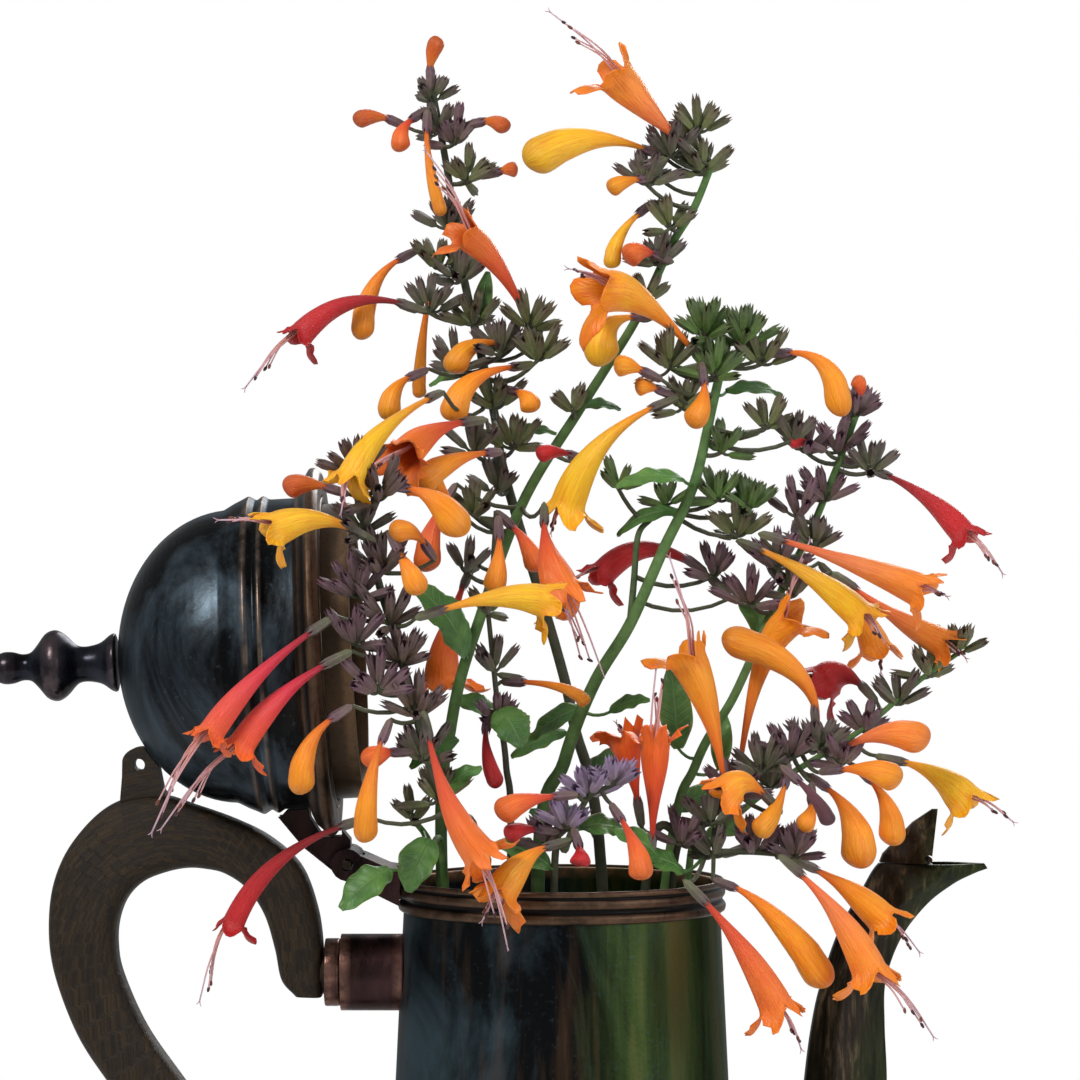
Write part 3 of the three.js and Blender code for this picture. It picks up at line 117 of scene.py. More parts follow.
# [name, stem, colour, width, base, bend, mouth, reach of the style past the mouth or None for a bud]
FLOWERS = [
    ["", "stem_1", "bronze", 4.4, [-33, 357, 15], [-32.5, 361, 15], [-31, 366, 14], None],
    ["", "stem_1", "bronze", 4.6, [-42.8, 345, 13], [-47, 345.8, 12], [-52.3, 345, 11], None],
    ["", "stem_1", "salmon", 5, [-37, 345.5, 9], [-40, 342, 7], [-40.5, 337, 6], None],
    ["", "stem_1", "orange", 3.8, [-33.8, 343, 8], [-33, 333, 6], [-30, 321, 5], None],
    ["", "stem_1", "bronze", 4.4, [-20.3, 344.5, 12], [-17, 344.5, 11], [-13, 343, 10], None],
    ["", "stem_1", "bronze", 4, [-16.3, 332, 12], [-13.6, 332.6, 12], [-11, 333, 12], None],
    ["flower_red_orange_high", "stem_1", "salmon", 7, [-8.5, 295, -2], [-15.5, 307.5, -6], [-24.3, 317.5,
        -11],
        [-34, 337, -14]],
    ["", "stem_1", "orange", 6, [-40, 310.5, 10], [-47.3, 303, 8], [-50.3, 290, 7], None],
    ["flower_crimson_left", "stem_1", "crimson", 6, [-39.5, 299, 4], [-53, 299.3, 1], [-67, 291.5, -2],
        [-79, 278, -4]],
    ["", "stem_1", "orange", 3.6, [-33, 301.8, 20], [-35, 289, 21], [-35.8, 275.5, 21], None],
    ["", "stem_1", "amber", 6, [-37.5, 281, 3], [-42, 277, 1], [-43.8, 270, 0], None],
    ["", "stem_1", "amber", 6.4, [-15.8, 289.3, 0], [-23, 288, -4], [-28.3, 282, -6], None],
    ["", "stem_1", "orange", 7.2, [-11.8, 283.3, -6], [-22.8, 279.3, -12], [-28, 269.8, -15], None],
    ["flower_gold_left", "stem_1", "yellow", 7, [-33, 275.5, -34], [-44.5, 267.5, -50], [-54.3, 255, -60],
        [-55, 247, -63]],
    ["flower_salmon_frilly", "stem_1", "salmon", 8, [-24, 269.5, -21], [-32, 267, -28], [-40, 261.3, -38],
        [-49.8, 256.5, -43]],
    ["", "stem_1", "orange", 7, [-18.5, 261.8, -16], [-27.5, 259.5, -24], [-36.3, 254, -30], None],
    ["", "stem_1", "orange", 6, [-26.8, 248.5, -10], [-31.5, 254, -14], [-35, 258.3, -16], None],
    ["", "stem_9", "orange", 8, [-39.3, 253, -55], [-31.3, 249.5, -56], [-24.3, 241.3, -54], None],
    ["", "stem_9", "bronze", 5.6, [-58, 253, -50], [-64, 254, -50], [-69.8, 253, -50], None],
    ["flower_gold_lid", "stem_9", "yellow", 7.4, [-52, 242.5, -55], [-61, 245, -57], [-71.8, 243.5, -59],
        [-86, 245.5, -60]],
    ["flower_magenta_upper", "stem_9", "magenta", 6, [-62, 217.5, -55], [-76, 206, -59], [-89.5, 190.5, -63],
        [-104, 168, -64]],
    ["flower_magenta_lower", "stem_9", "magenta", 6.6, [-58.3, 209.3, -54], [-70, 201, -55], [-81.5, 188,
        -56],
        [-100, 168, -57]],
    ["", "stem_9", "orange", 6.4, [-56.8, 195.8, -50], [-63.5, 188, -50], [-65.5, 176.3, -50], None],
    ["", "stem_9", "orange", 6, [-44.8, 190.5, -53], [-48, 179, -55], [-49.5, 164.3, -55], None],
    ["", "stem_9", "salmon", 5.4, [-41.8, 187, -48], [-45, 186.5, -48.5], [-50.3, 185, -49], None],
    ["flower_crimson_hinge", "stem_9", "crimson", 5.4, [-54, 168.8, -42], [-71, 159.5, -38], [-84.5, 142.8,
        -35],
        [-90, 125, -34]],
    ["flower_front_large", "stem_9", "salmon", 8.4, [-33.5, 191.3, -52], [-28.5, 175, -55], [-20.5, 160, -57],
        [-13, 139, -59]],
    ["flower_front_rim", "stem_11", "amber", 8, [-3.3, 163.5, -44], [-9, 160, -47], [-15.5, 152.5, -50],
        [-20, 145, -52]],
    ["", "stem_11", "salmon", 6.6, [-1, 176, -41], [-9.5, 174.5, -43], [-16.4, 171.4, -45], None],
    ["", "stem_11", "crimson", 4.6, [-5.3, 167.5, -37], [-10, 167.5, -39], [-14.3, 166.3, -41], None],
    ["", "stem_11", "crimson", 5.4, [4, 164, -41], [4.6, 161, -43], [4.4, 158.5, -44], None],
    ["", "stem_11", "salmon", 6.2, [14.5, 170.6, -38], [18.4, 163, -43], [20.3, 155, -46], None],
    ["flower_upright", "stem_8", "scarlet", 7.6, [22.5, 164.5, -30], [23, 177, -31], [23.3, 190, -32],
        [24.5, 208, -32]],
    ["", "stem_8", "scarlet", 7.4, [19, 174, -20], [17.5, 182, -21], [15.5, 190.3, -21], [14, 194, -22]],
    ["flower_middle_tall", "stem_8", "orange", 8.6, [40.5, 180, -30], [37, 196, -31], [31.5, 211.3, -32],
        [28, 236, -33]],
    ["", "stem_8", "orange", 8, [63.8, 192.3, -16], [58.5, 206.8, -17], [40, 216, -20], None],
    ["flower_right_tall", "stem_8", "orange", 7.6, [44.6, 184.5, -14], [49.3, 206.8, -10], [57, 222.3, -10],
        [62, 239, -9]],
    ["flower_right_gold", "stem_6", "yellow", 7.4, [49, 237.8, -8], [62, 231, -13], [76, 220.5, -16],
        [80, 215, -18]],
    ["flower_right_long", "stem_6", "peach", 7.6, [54.8, 240, -16], [73, 234, -24], [91, 227, -29],
        [96, 226, -30]],
    ["", "stem_6", "peach", 7, [72.5, 228.3, -4], [84, 220.5, -7], [96, 213.5, -9], [101, 211, -10]],
    ["", "stem_6", "orange", 7.6, [68, 230, 12], [74, 222, 14], [78.8, 213, 15], [80, 207, 15]],
    ["", "stem_7", "crimson", 9, [75.5, 203, 2], [71, 206, 6], [66, 205.5, 8], [60, 206, 8]],
    ["flower_crimson_right", "stem_6", "crimson", 6.4, [80.5, 256.5, 0], [91, 250.5, -3], [101.5, 241, -6],
        [110, 232, -8]],
    ["", "stem_4", "orange", 6.8, [56, 286.8, -10], [65.8, 283.3, -12], [70, 270.8, -13], None],
    ["", "stem_4", "orange", 6.4, [35.5, 280, -18], [35, 274, -20], [32, 268.3, -21], None],
    ["", "stem_6", "salmon", 4, [73.8, 275, 2], [74.6, 278, 2], [73.3, 281, 2], None],
    ["", "stem_6", "crimson", 4, [62, 263.8, -4], [59.4, 264.6, -5], [56.8, 265, -5], None],
    ["flower_top", "stem_2", "peach", 8.6, [30, 339.3, -8], [22.5, 346.5, -11], [13.3, 356, -14],
        [-2, 372.5, -16]],
    ["bud_top_gold", "stem_2", "yellow", 9.6, [21.3, 337.5, -4], [6, 340, -8], [-9.3, 334.3, -12], None],
    ["", "stem_2", "amber", 4.6, [19.8, 330.3, -6], [15.5, 329.4, -8], [11.3, 327.8, -9], None],
    ["", "stem_2", "yellow", 4.4, [19.8, 322, -2], [14.5, 316, -4], [12, 308, -6], None],
    ["", "stem_2", "salmon", 6, [23.5, 311.3, -5], [19.5, 312, -7], [15.5, 310.8, -9], None],
    ["flower_centre_large", "stem_4", "amber", 10, [32.8, 287.5, -12], [21.3, 298.5, -17], [10, 303.8, -22],
        [2, 308, -24]],
    ["", "stem_2", "yellow", 9.2, [18.5, 295.8, -5], [11, 292.5, -7], [9.5, 283.3, -8], None],
    ["", "stem_4", "amber", 5.4, [20.8, 282, -18], [17, 283.4, -19], [13, 284, -20], None],
    ["", "stem_4", "orange", 4.6, [24.5, 277.5, -14], [21.5, 278.4, -15], [18.3, 278.6, -16], None],
    ["flower_centre_gold", "stem_4", "yellow", 8, [23.5, 273.5, -14], [10, 264, -15], [-0.3, 248, -12],
        [-3, 242, -12]],
    ["", "stem_1", "orange", 5.6, [-12, 277.3, -2], [-9, 275.6, -4], [-7, 272, -5], None],
    ["", "stem_2", "crimson", 4.4, [2.5, 261.3, -4], [-2, 262, -6], [-6.5, 261.3, -7], None],
    ["", "stem_3", "orange", 6, [-15.8, 241.3, -26], [-16, 234, -28], [-17.3, 226.8, -29], None],
    ["flower_centre_salmon", "stem_2", "salmon", 9.4, [-4.5, 244.8, -24], [-3.5, 237, -30], [-0.3, 227.5,
        -34],
        [8.8, 206, -36]],
    ["", "stem_9", "yellow", 7, [-30.8, 222.3, -54], [-17, 225.5, -50], [-4, 225.5, -46], [1, 222, -46]],
    ["", "stem_3", "salmon", 5.2, [-13, 244, -12], [-9, 239, -13], [-6, 232, -14], None],
    ["flower_crimson_centre", "stem_5", "crimson", 6.6, [38, 229.8, 3], [23.5, 237.6, 5], [8.3, 232.8, 4],
        [1, 229, 4]],
    ["", "stem_2", "salmon", 7, [-29, 250, -1], [-32.5, 242, -2], [-34.5, 232, -2], None],
    ["", "stem_2", "salmon", 8.6, [-24.3, 229.5, 12], [-28.5, 217, 15], [-30.5, 204.8, 17], [-31, 200, 17]],
    ["", "stem_9", "orange", 5.6, [-34, 238.5, -50], [-38, 242, -54], [-43, 242, -57], None],
    ["", "stem_9", "orange", 6, [-41.3, 238, -56], [-38.4, 232.6, -58], [-35, 226.5, -59], None],
    ["", "stem_3", "orange", 3.6, [-10.5, 204.5, -17], [0, 203, -20], [6.5, 199, -22], None],
    ["", "stem_3", "crimson", 4.6, [-19, 193, -20], [-18.6, 186, -22], [-16, 178, -23], None],
    ["", "stem_8", "peach", 8, [71, 188.3, -24], [81, 191.5, -27], [92, 190, -30], None],
    ["", "stem_8", "orange", 7, [69, 182.5, -30], [77, 182.4, -32], [85, 180, -34], None],
    ["flower_right_low_gold", "stem_7", "yellow", 8, [84.3, 184.8, -14], [93, 181.5, -15], [101, 175.5, -16],
        [113, 170, -17]],
    ["", "stem_8", "orange", 9, [65.5, 178.5, -17], [72.5, 170, -18], [74.8, 157.8, -19], None],
    ["", "stem_7", "orange", 6.8, [76.5, 180.5, -12], [81.5, 173, -14], [82.8, 163.5, -15], None],
    ["", "stem_8", "amber", 8, [51, 176, -33], [46.5, 179, -35], [42, 178.5, -36], [38, 178, -37]],
    ["", "stem_8", "amber", 6, [55.8, 179.3, -30], [53, 172, -33], [48.3, 166.5, -35], None],
    ["", "stem_8", "orange", 5.2, [62.5, 175, -26], [61.8, 171, -28], [59.5, 167.5, -29], None],
    ["", "stem_8", "plum", 4, [58.5, 180.3, -38], [63.5, 175, -40], [67.3, 168.8, -41], None],
    ["", "stem_12", "orange", 8, [42.3, 153.5, -32], [53.5, 145.3, -30], [66.8, 128.5, -28], None],
    ["flower_right_low_red", "stem_12", "salmon", 7.6, [35, 150.3, -43], [44.8, 138.3, -43], [54.5, 122.5,
        -42],
        [60, 113, -41]],
    ["flower_right_low_salmon", "stem_12", "peach", 8.4, [59, 157, -33], [69, 146, -35], [78, 131.3, -37],
        [93, 116, -38]],
    ["", "stem_12", "orange", 7.4, [62.5, 158, -24], [71, 153, -22], [80.5, 145.3, -21], [89, 137, -21]],
]

# [name, stem, width, base, tip, toothed]
LEAVES = [
    ["", "stem_4", 5.5, [30.3, 255, -13], [13.5, 253, -16], 0],
    ["", "stem_4", 5, [30, 247, -3], [14, 241, 0], 0],
    ["", "stem_4", 7, [6, 198, -2], [-8, 190, 2], 0],
    ["", "stem_2", 6.5, [-27, 200, 10], [-14, 194, 14], 1],
    ["", "stem_2", 6, [-26, 190, 0], [-38, 183, -2], 0],
    ["", "stem_1", 6, [5, 180, 18], [20, 187, 20], 0],
    ["", "stem_1", 7, [7, 168, 18], [-8, 172, 22], 1],
    ["", "stem_6", 7, [28, 172, 10], [44, 178, 16], 0],
    ["", "stem_6", 6, [50, 216, 6], [43, 228, 8], 0],
    ["", "stem_7", 6, [36, 166, 4], [52, 168, 8], 0],
    ["", "stem_8", 7.5, [24, 160, -30], [13, 167, -33], 0],
    ["", "stem_12", 7, [30, 157, -27], [17, 160, -30], 0],
    ["", "stem_11", 7.5, [-3, 158, -33], [-17, 164, -36], 1],
    ["", "stem_9", 6, [-30, 176, -42], [-20, 183, -44], 0],
    ["", "stem_2", 4, [4, 273, 8], [14.5, 272.5, 11], 0],
    ["", "stem_1", 4, [-13.5, 266, 16], [-1.5, 266.5, 18], 0],
    ["", "stem_1", 4, [-20, 296, 13], [-18.5, 307, 14], 0],
    ["", "stem_1", 4, [-21, 281, 16], [-33, 278.5, 18], 0],
    ["leaf_big_blue_green", "stem_2", 11, [-24, 211, 0], [-38, 229, -8], 1],
    ["", "stem_4", 5, [12, 197, -12], [22, 200, -15], 0],
    ["leaf_right_upright", "stem_6", 8, [29, 188, 9], [27, 208, 10], 0],
    ["", "stem_6", 5, [39.5, 183, 8], [40.5, 197, 10], 0],
    ["leaf_long_middle", "stem_1", 6, [1, 192, 17], [-12.5, 185.5, 18], 0],
    ["", "stem_3", 9, [-15.6, 197.6, -21], [-10, 188, -25], 1],
    ["leaf_bright_front", "stem_10", 9, [-43, 157.5, -38], [-55, 147.5, -42], 0],
    ["leaf_front_left", "stem_10", 9, [-33, 165, -38], [-38.5, 152, -42], 0],
    ["", "stem_11", 7, [4.5, 168, -31], [16, 167, -27], 0],
    ["", "stem_4", 5, [41, 277, -3], [55, 276, 2], 0],
]

# Whorls of empty calyces: [stem, centre, reach, count, length, colour]
WHORLS = [
    ["stem_1", [-32.5, 350, 15], 5, 7, 6, "slate"], ["stem_1", [-31, 342, 14], 8, 9, 6.5, "slate"],
    ["stem_1", [-27, 339, 12], 10, 8, 6.5, "plum"], ["stem_1", [-24, 330, 12], 9, 10, 7, "olive"],
    ["stem_1", [-28, 318, 12], 9, 10, 7, "slate"], ["stem_1", [-31, 308, 10], 8, 9, 7, "olive"],
    ["stem_1", [-25, 305, 9], 9, 9, 7.5, "slate"], ["stem_1", [-33, 297, 6], 8, 8, 7.5, "slate"],
    ["stem_1", [-22, 294, 8], 8, 8, 8, "olive"], ["stem_1", [-8, 293, -2], 8, 10, 8, "olive"],
    ["stem_1", [-6, 285, -3], 8, 10, 8, "olive"], ["stem_1", [-15, 287, 0], 9, 9, 8, "slate"],
    ["stem_1", [-26, 283, 6], 8, 8, 8, "slate"], ["stem_1", [-17, 273, 4], 9, 9, 8, "olive"],
    ["stem_1", [-12, 263, 4], 8, 8, 8, "olive"], ["stem_1", [-22, 262, -4], 8, 8, 8, "slate"],
    ["stem_1", [-16, 252, 4], 8, 7, 8, "slate"],
    ["stem_2", [34, 342, -6], 6, 9, 7.5, "olive"], ["stem_2", [27, 336, -6], 8, 12, 8, "slate"],
    ["stem_2", [35, 332, -4], 7, 9, 8, "olive"], ["stem_2", [21, 329, -5], 7, 8, 8, "slate"],
    ["stem_2", [27, 318, -3], 6, 7, 7.5, "olive"], ["stem_2", [24, 309, -2], 6, 8, 7.5, "slate"],
    ["stem_2", [21, 300, -2], 5, 6, 7.5, "olive"], ["stem_2", [3, 272, -1], 5, 5, 7, "olive"],
    ["stem_2", [-22, 246, 2], 7, 7, 8, "olive"], ["stem_2", [-24, 232, 8], 7, 7, 8, "slate"],
    ["stem_4", [36, 291, -9], 8, 12, 8.5, "green"], ["stem_4", [45, 289, -9], 9, 12, 8.5, "green"],
    ["stem_4", [27, 283, -11], 8, 11, 8.5, "olive"], ["stem_4", [38, 281, -12], 9, 12, 8.5, "green"],
    ["stem_4", [50, 284, -8], 7, 8, 8, "olive"], ["stem_4", [30, 273, -10], 7, 8, 8, "olive"],
    ["stem_4", [51, 268, -7], 6, 9, 7.5, "olive"], ["stem_4", [58, 265, -6], 5, 7, 7.5, "slate"],
    ["stem_4", [40, 262, -8], 6, 6, 7.5, "green"],
    ["stem_5", [39, 250, -4], 7, 10, 8, "green"], ["stem_5", [47, 248, -4], 7, 10, 8, "green"],
    ["stem_5", [44, 241, -5], 7, 9, 8, "olive"], ["stem_5", [26, 249, -2], 4, 5, 7, "green"],
    ["stem_5", [14, 253, -2], 4, 5, 7, "green"], ["stem_5", [38, 231, 1], 7, 8, 8, "plum"],
    ["stem_6", [73, 271, 2], 6, 9, 7.5, "plum"], ["stem_6", [69, 262, 1], 8, 10, 8, "plum"],
    ["stem_6", [77, 257, 0], 6, 7, 8, "slate"], ["stem_6", [61, 262, -1], 6, 8, 7.5, "plum"],
    ["stem_6", [66, 250, 0], 8, 9, 8, "plum"], ["stem_6", [59, 246, -2], 7, 8, 8, "plum"],
    ["stem_6", [63, 238, 0], 8, 9, 8, "slate"], ["stem_6", [54, 233, -4], 8, 9, 8, "plum"],
    ["stem_6", [47, 224, -3], 8, 9, 8.5, "plum"], ["stem_6", [58, 226, 0], 7, 7, 8, "slate"],
    ["stem_7", [99, 212, -8], 6, 8, 7.5, "olive"], ["stem_7", [92, 206, -8], 6, 7, 7.5, "olive"],
    ["stem_7", [84, 199, -8], 7, 8, 8, "slate"], ["stem_7", [76, 192, -8], 7, 8, 8, "plum"],
    ["stem_7", [66, 186, -8], 7, 7, 8, "plum"], ["stem_7", [52, 178, -7], 7, 7, 8, "slate"],
    ["stem_8", [30, 164, -24], 6, 8, 8, "plum"], ["stem_8", [37, 169, -24], 7, 9, 8.5, "slate"],
    ["stem_8", [43, 176, -24], 7, 10, 8.5, "plum"], ["stem_8", [50, 182, -24], 7, 10, 8.5, "slate"],
    ["stem_8", [57, 186, -23], 7, 9, 8.5, "plum"], ["stem_8", [64, 188, -23], 7, 9, 8.5, "slate"],
    ["stem_8", [70, 184, -24], 6, 7, 8, "plum"],
    ["stem_9", [-51, 257, -50], 7, 9, 8, "bark"], ["stem_9", [-46, 250, -51], 8, 9, 8.5, "bark"],
    ["stem_9", [-50, 242, -50], 7, 9, 8.5, "slate"], ["stem_9", [-45, 232, -50], 9, 10, 9, "bark"],
    ["stem_9", [-51, 226, -50], 7, 9, 9, "plum"], ["stem_9", [-43, 219, -50], 9, 10, 9, "bark"],
    ["stem_9", [-52, 214, -51], 6, 7, 9, "plum"], ["stem_9", [-40, 209, -49], 8, 9, 9, "bark"],
    ["stem_9", [-46, 202, -50], 7, 8, 9, "plum"], ["stem_9", [-36, 196, -48], 8, 9, 9, "bark"],
    ["stem_9", [-35, 185, -45], 7, 8, 8.5, "slate"], ["stem_9", [-31, 175, -40], 7, 7, 8, "olive"],
    ["stem_3", [-18.5, 222, -18], 5, 7, 7.5, "olive"], ["stem_3", [-17, 207, -17], 6, 7, 7.5, "slate"],
    ["stem_3", [-16, 194, -17], 5, 6, 7.5, "plum"],
    ["stem_11", [1, 168, -35], 6, 8, 7.5, "lilac"], ["stem_11", [6, 176, -35], 7, 11, 8, "lilac"],
    ["stem_11", [13, 179, -35], 6, 9, 8, "lilac"], ["stem_11", [-4, 164, -33], 6, 7, 7.5, "plum"],
    ["stem_12", [38, 161, -24], 6, 7, 8, "slate"], ["stem_12", [48, 162, -26], 6, 8, 8, "plum"],
    ["stem_12", [58, 161, -26], 6, 9, 8, "plum"],
    ["stem_10", [-37, 170, -32], 5, 5, 7, "olive"],
]


# ------------------------------------------------------------------ colours


def linear(red, green, blue):
    """An everyday 0 to 1 colour as a linear one: each part to the power 2.2."""
    return np.array([red, green, blue]) ** 2.2


# a corolla's colour at its foot, along its tube, at its mouth and on its lips
PETALS = {
    "orange": [(0.93, 0.42, 0.08), (0.99, 0.56, 0.04), (1.0, 0.62, 0.03), (1.0, 0.57, 0.03)],
    "amber": [(0.95, 0.46, 0.07), (1.0, 0.62, 0.05), (1.0, 0.66, 0.04), (1.0, 0.54, 0.03)],
    "yellow": [(0.98, 0.60, 0.10), (1.0, 0.74, 0.12), (1.0, 0.77, 0.08), (1.0, 0.70, 0.05)],
    "peach": [(0.93, 0.42, 0.25), (0.97, 0.52, 0.28), (0.99, 0.55, 0.16), (1.0, 0.55, 0.08)],
    "salmon": [(0.80, 0.22, 0.14), (0.93, 0.36, 0.18), (0.96, 0.46, 0.14), (0.98, 0.50, 0.10)],
    "scarlet": [(0.80, 0.18, 0.08), (0.93, 0.30, 0.09), (0.96, 0.38, 0.08), (0.97, 0.44, 0.09)],
    "crimson": [(0.50, 0.05, 0.10), (0.72, 0.08, 0.13), (0.80, 0.10, 0.13), (0.70, 0.06, 0.09)],
    "magenta": [(0.62, 0.04, 0.18), (0.86, 0.14, 0.26), (0.93, 0.30, 0.22), (0.97, 0.42, 0.10)],
    "bronze": [(0.85, 0.42, 0.10), (0.88, 0.46, 0.10), (0.82, 0.38, 0.10), (0.70, 0.30, 0.10)],
    "plum": [(0.40, 0.22, 0.28), (0.42, 0.24, 0.30), (0.36, 0.20, 0.24), (0.32, 0.18, 0.20)],
}

# a calyx's colour at its foot and at its teeth
CALYCES = {
    "green": [(0.36, 0.50, 0.22), (0.27, 0.34, 0.19)],
    "olive": [(0.41, 0.46, 0.26), (0.33, 0.29, 0.23)],
    "slate": [(0.38, 0.40, 0.29), (0.32, 0.26, 0.27)],
    "plum": [(0.43, 0.36, 0.33), (0.37, 0.25, 0.32)],
    "bark": [(0.42, 0.35, 0.28), (0.35, 0.27, 0.29)],
    "lilac": [(0.60, 0.54, 0.58), (0.52, 0.44, 0.58)],
}


# ------------------------------------------------------------------ numpy surfaces


def sprig_point(point):
    """[x, z, depth] on the front elevation to a point in millimetres: it slides along the line from EYE."""
    x, z, depth = np.moveaxis(np.asarray(point, float), -1, 0)
    reach = (depth - EYE[1]) / -EYE[1]
    return np.stack([EYE[0] + (x - EYE[0]) * reach, depth, EYE[2] + (z - EYE[2]) * reach], -1)


def unit(vectors):
    """Vectors scaled to length one."""
    return vectors / np.maximum(np.linalg.norm(vectors, axis=-1, keepdims=True), 1e-12)


def spline(points, count):
    """A smooth line through points: Catmull-Rom cubics, evaluated at count even steps all at once."""
    points = np.asarray(points, float)
    padded = np.vstack([2 * points[0] - points[1], points, 2 * points[-1] - points[-2]])
    place = np.linspace(0, len(points) - 1, count)
    start = np.minimum(place.astype(int), len(points) - 2)
    t = (place - start)[:, None]
    p0, p1, p2, p3 = (padded[start + k] for k in range(4))
    bend = (2 * p0 - 5 * p1 + 4 * p2 - p3) * t**2 + (3 * p1 - p0 - 3 * p2 + p3) * t**3
    return 0.5 * (2 * p1 + (p2 - p0) * t + bend)


def arch(base, bend, mouth, count):
    """A parabola from base to mouth that passes the bend half-way, with its tangents."""
    control = 2 * bend - (base + mouth) / 2
    t = np.linspace(0, 1, count)[:, None]
    line = (1 - t) ** 2 * base + 2 * t * (1 - t) * control + t**2 * mouth
    return line, unit((1 - t) * (control - base) + t * (mouth - control))


def frames(tangents, up):
    """For each tangent, the direction nearest to up across it, and the sideways direction."""
    side = unit(np.cross(tangents, up))
    return np.cross(side, tangents), side


def grid_faces(rows, columns, wrap_rows=False, wrap_columns=True, first=0):
    """Quads of a grid of points, row by row, closed round in either direction where asked."""
    r = np.arange(rows if wrap_rows else rows - 1)[:, None]
    c = np.arange(columns if wrap_columns else columns - 1)[None, :]
    r2, c2 = (r + 1) % rows, (c + 1) % columns
    corners = [r * columns + c, r * columns + c2, r2 * columns + c2, r2 * columns + c]
    return np.stack([np.broadcast_to(k, (r.size, c.size)) for k in corners], -1).reshape(-1, 4) + first


def bud_faces(rows, columns, first=0):
    """Quads of a closed round shape: a grid of rings whose end rings are shut by a fan of folded quads."""
    body = grid_faces(rows, columns, first=first)
    around = np.arange(0, columns, 2)
    step, next_step = (around + 1) % columns, (around + 2) % columns
    hub_low, hub_high = rows * columns, rows * columns + 1
    last = (rows - 1) * columns
    low = np.stack([np.full_like(around, hub_low), next_step, step, around], -1)
    high = np.stack([np.full_like(around, hub_high), last + around, last + step, last + next_step], -1)
    return np.vstack([body, low + first, high + first])


class Skin:
    """Collects grids into one mesh: points, quads, a tint for each point and its flow (round, round,
    along)."""

    def __init__(self):
        self.points, self.faces, self.tints, self.flows = [], [], [], []
        self.count = 0

    def add(self, points, faces, tints, flows):
        points = np.asarray(points).reshape(-1, 3)
        self.points.append(points)
        self.faces.append(faces + self.count)
        self.tints.append(np.broadcast_to(np.asarray(tints).reshape(-1, 3), (len(points), 3)))
        self.flows.append(np.asarray(flows).reshape(-1, 3))
        self.count += len(points)

    def closed_rings(self, rings, tints, flows):
        """Adds rings of shape (rows, columns, 3), with a hub at each end."""
        rows, columns = rings.shape[:2]
        hubs = np.stack([rings[0].mean(0), rings[-1].mean(0)])
        points = np.vstack([rings.reshape(-1, 3), hubs])
        tints = np.broadcast_to(tints, (rows, columns, 3))
        flows = np.broadcast_to(flows, (rows, columns, 3))
        tint_ends = np.stack([tints[0].mean(0), tints[-1].mean(0)])
        flow_ends = np.stack([flows[0].mean(0), flows[-1].mean(0)])
        self.add(points, bud_faces(rows, columns), np.vstack([tints.reshape(-1, 3), tint_ends]),
                 np.vstack([flows.reshape(-1, 3), flow_ends]))

    def make(self, name, material, smooth_angle=None):
        """The finished object, with its points in metres."""
        mesh = bpy.data.meshes.new(name)
        points, faces = np.vstack(self.points) * MM, np.vstack(self.faces)
        mesh.vertices.add(len(points))
        mesh.vertices.foreach_set("co", points.astype(np.float32).ravel())
        mesh.loops.add(faces.size)
        mesh.loops.foreach_set("vertex_index", faces.astype(np.int32).ravel())
        mesh.polygons.add(len(faces))
        mesh.polygons.foreach_set("loop_start", np.arange(0, faces.size, 4, dtype=np.int32))
        mesh.update(calc_edges=True)
        mesh.validate()
        tint = mesh.attributes.new("tint", "FLOAT_COLOR", "POINT")
        colours = np.hstack([np.vstack(self.tints), np.ones((len(points), 1))])
        tint.data.foreach_set("color", colours.astype(np.float32).ravel())
        flow = mesh.attributes.new("flow", "FLOAT_VECTOR", "POINT")
        flow.data.foreach_set("vector", np.vstack(self.flows).astype(np.float32).ravel())
        mesh.polygons.foreach_set("use_smooth", np.ones(len(mesh.polygons), bool))
        mesh.materials.append(material)
        made = bpy.data.objects.new(name, mesh)
        bpy.context.scene.collection.objects.link(made)
        if smooth_angle is not None:
            mesh.set_sharp_from_angle(angle=math.radians(smooth_angle))
        return made


def blend_tints(stops, share):
    """Colours between evenly spaced stops, at shares from 0 to 1."""
    stops = np.array([linear(*stop) for stop in stops])
    at = np.linspace(0, 1, len(stops))
    return np.stack([np.interp(share, at, stops[:, k]) for k in range(3)], -1)


def settle(piece, slot, *nodes, body="pot"):
    """Says which body a piece rides on and hides the CAD nodes that it stands for; its material slot is not
    used.
    """
    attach(piece, body)
    if nodes:
        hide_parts(*nodes)
    return piece


# ------------------------------------------------------------------ plant shapes


def smooth_step(value):
    """0 below 0 and 1 above 1, joined by 3v^2 - 2v^3."""
    value = np.clip(value, 0, 1)
    return value * value * (3 - 2 * value)


def upper_side(base, bend, mouth):
    """The direction across a flower's chord that its bow points to, tipped towards the sky."""
    chord = unit(mouth - base)
    bow = bend - (base + mouth) / 2
    wish = bow / np.linalg.norm(mouth - base) * 4 + np.array([0, -0.15, 0.75])
    across = wish - wish @ chord * chord
    return unit(across) if np.linalg.norm(across) > 0.05 else unit(np.cross(chord, [0, 1, 0]))


def tube_rings(line, tangents, up, radii, columns, squash=1.0, square=2.0):
    """Rings round a line: centre + radius x (cos a x up + squash x sin a x side), squarer as square
    passes 2."""
    lift, side = frames(tangents, up)
    angle = np.linspace(0, 2 * np.pi, columns, endpoint=False)
    fold = (np.abs(np.cos(angle)) ** square + np.abs(np.sin(angle)) ** square) ** (-1 / square)
    c, s = (np.cos(angle) * fold)[:, None], (np.sin(angle) * fold * squash)[:, None]
    radii = np.asarray(radii)
    radii = radii[:, None, None] if radii.ndim == 1 else radii[:, :, None]
    return line[:, None, :] + radii * (c[None] * lift[:, None, :] + s[None] * side[:, None, :])


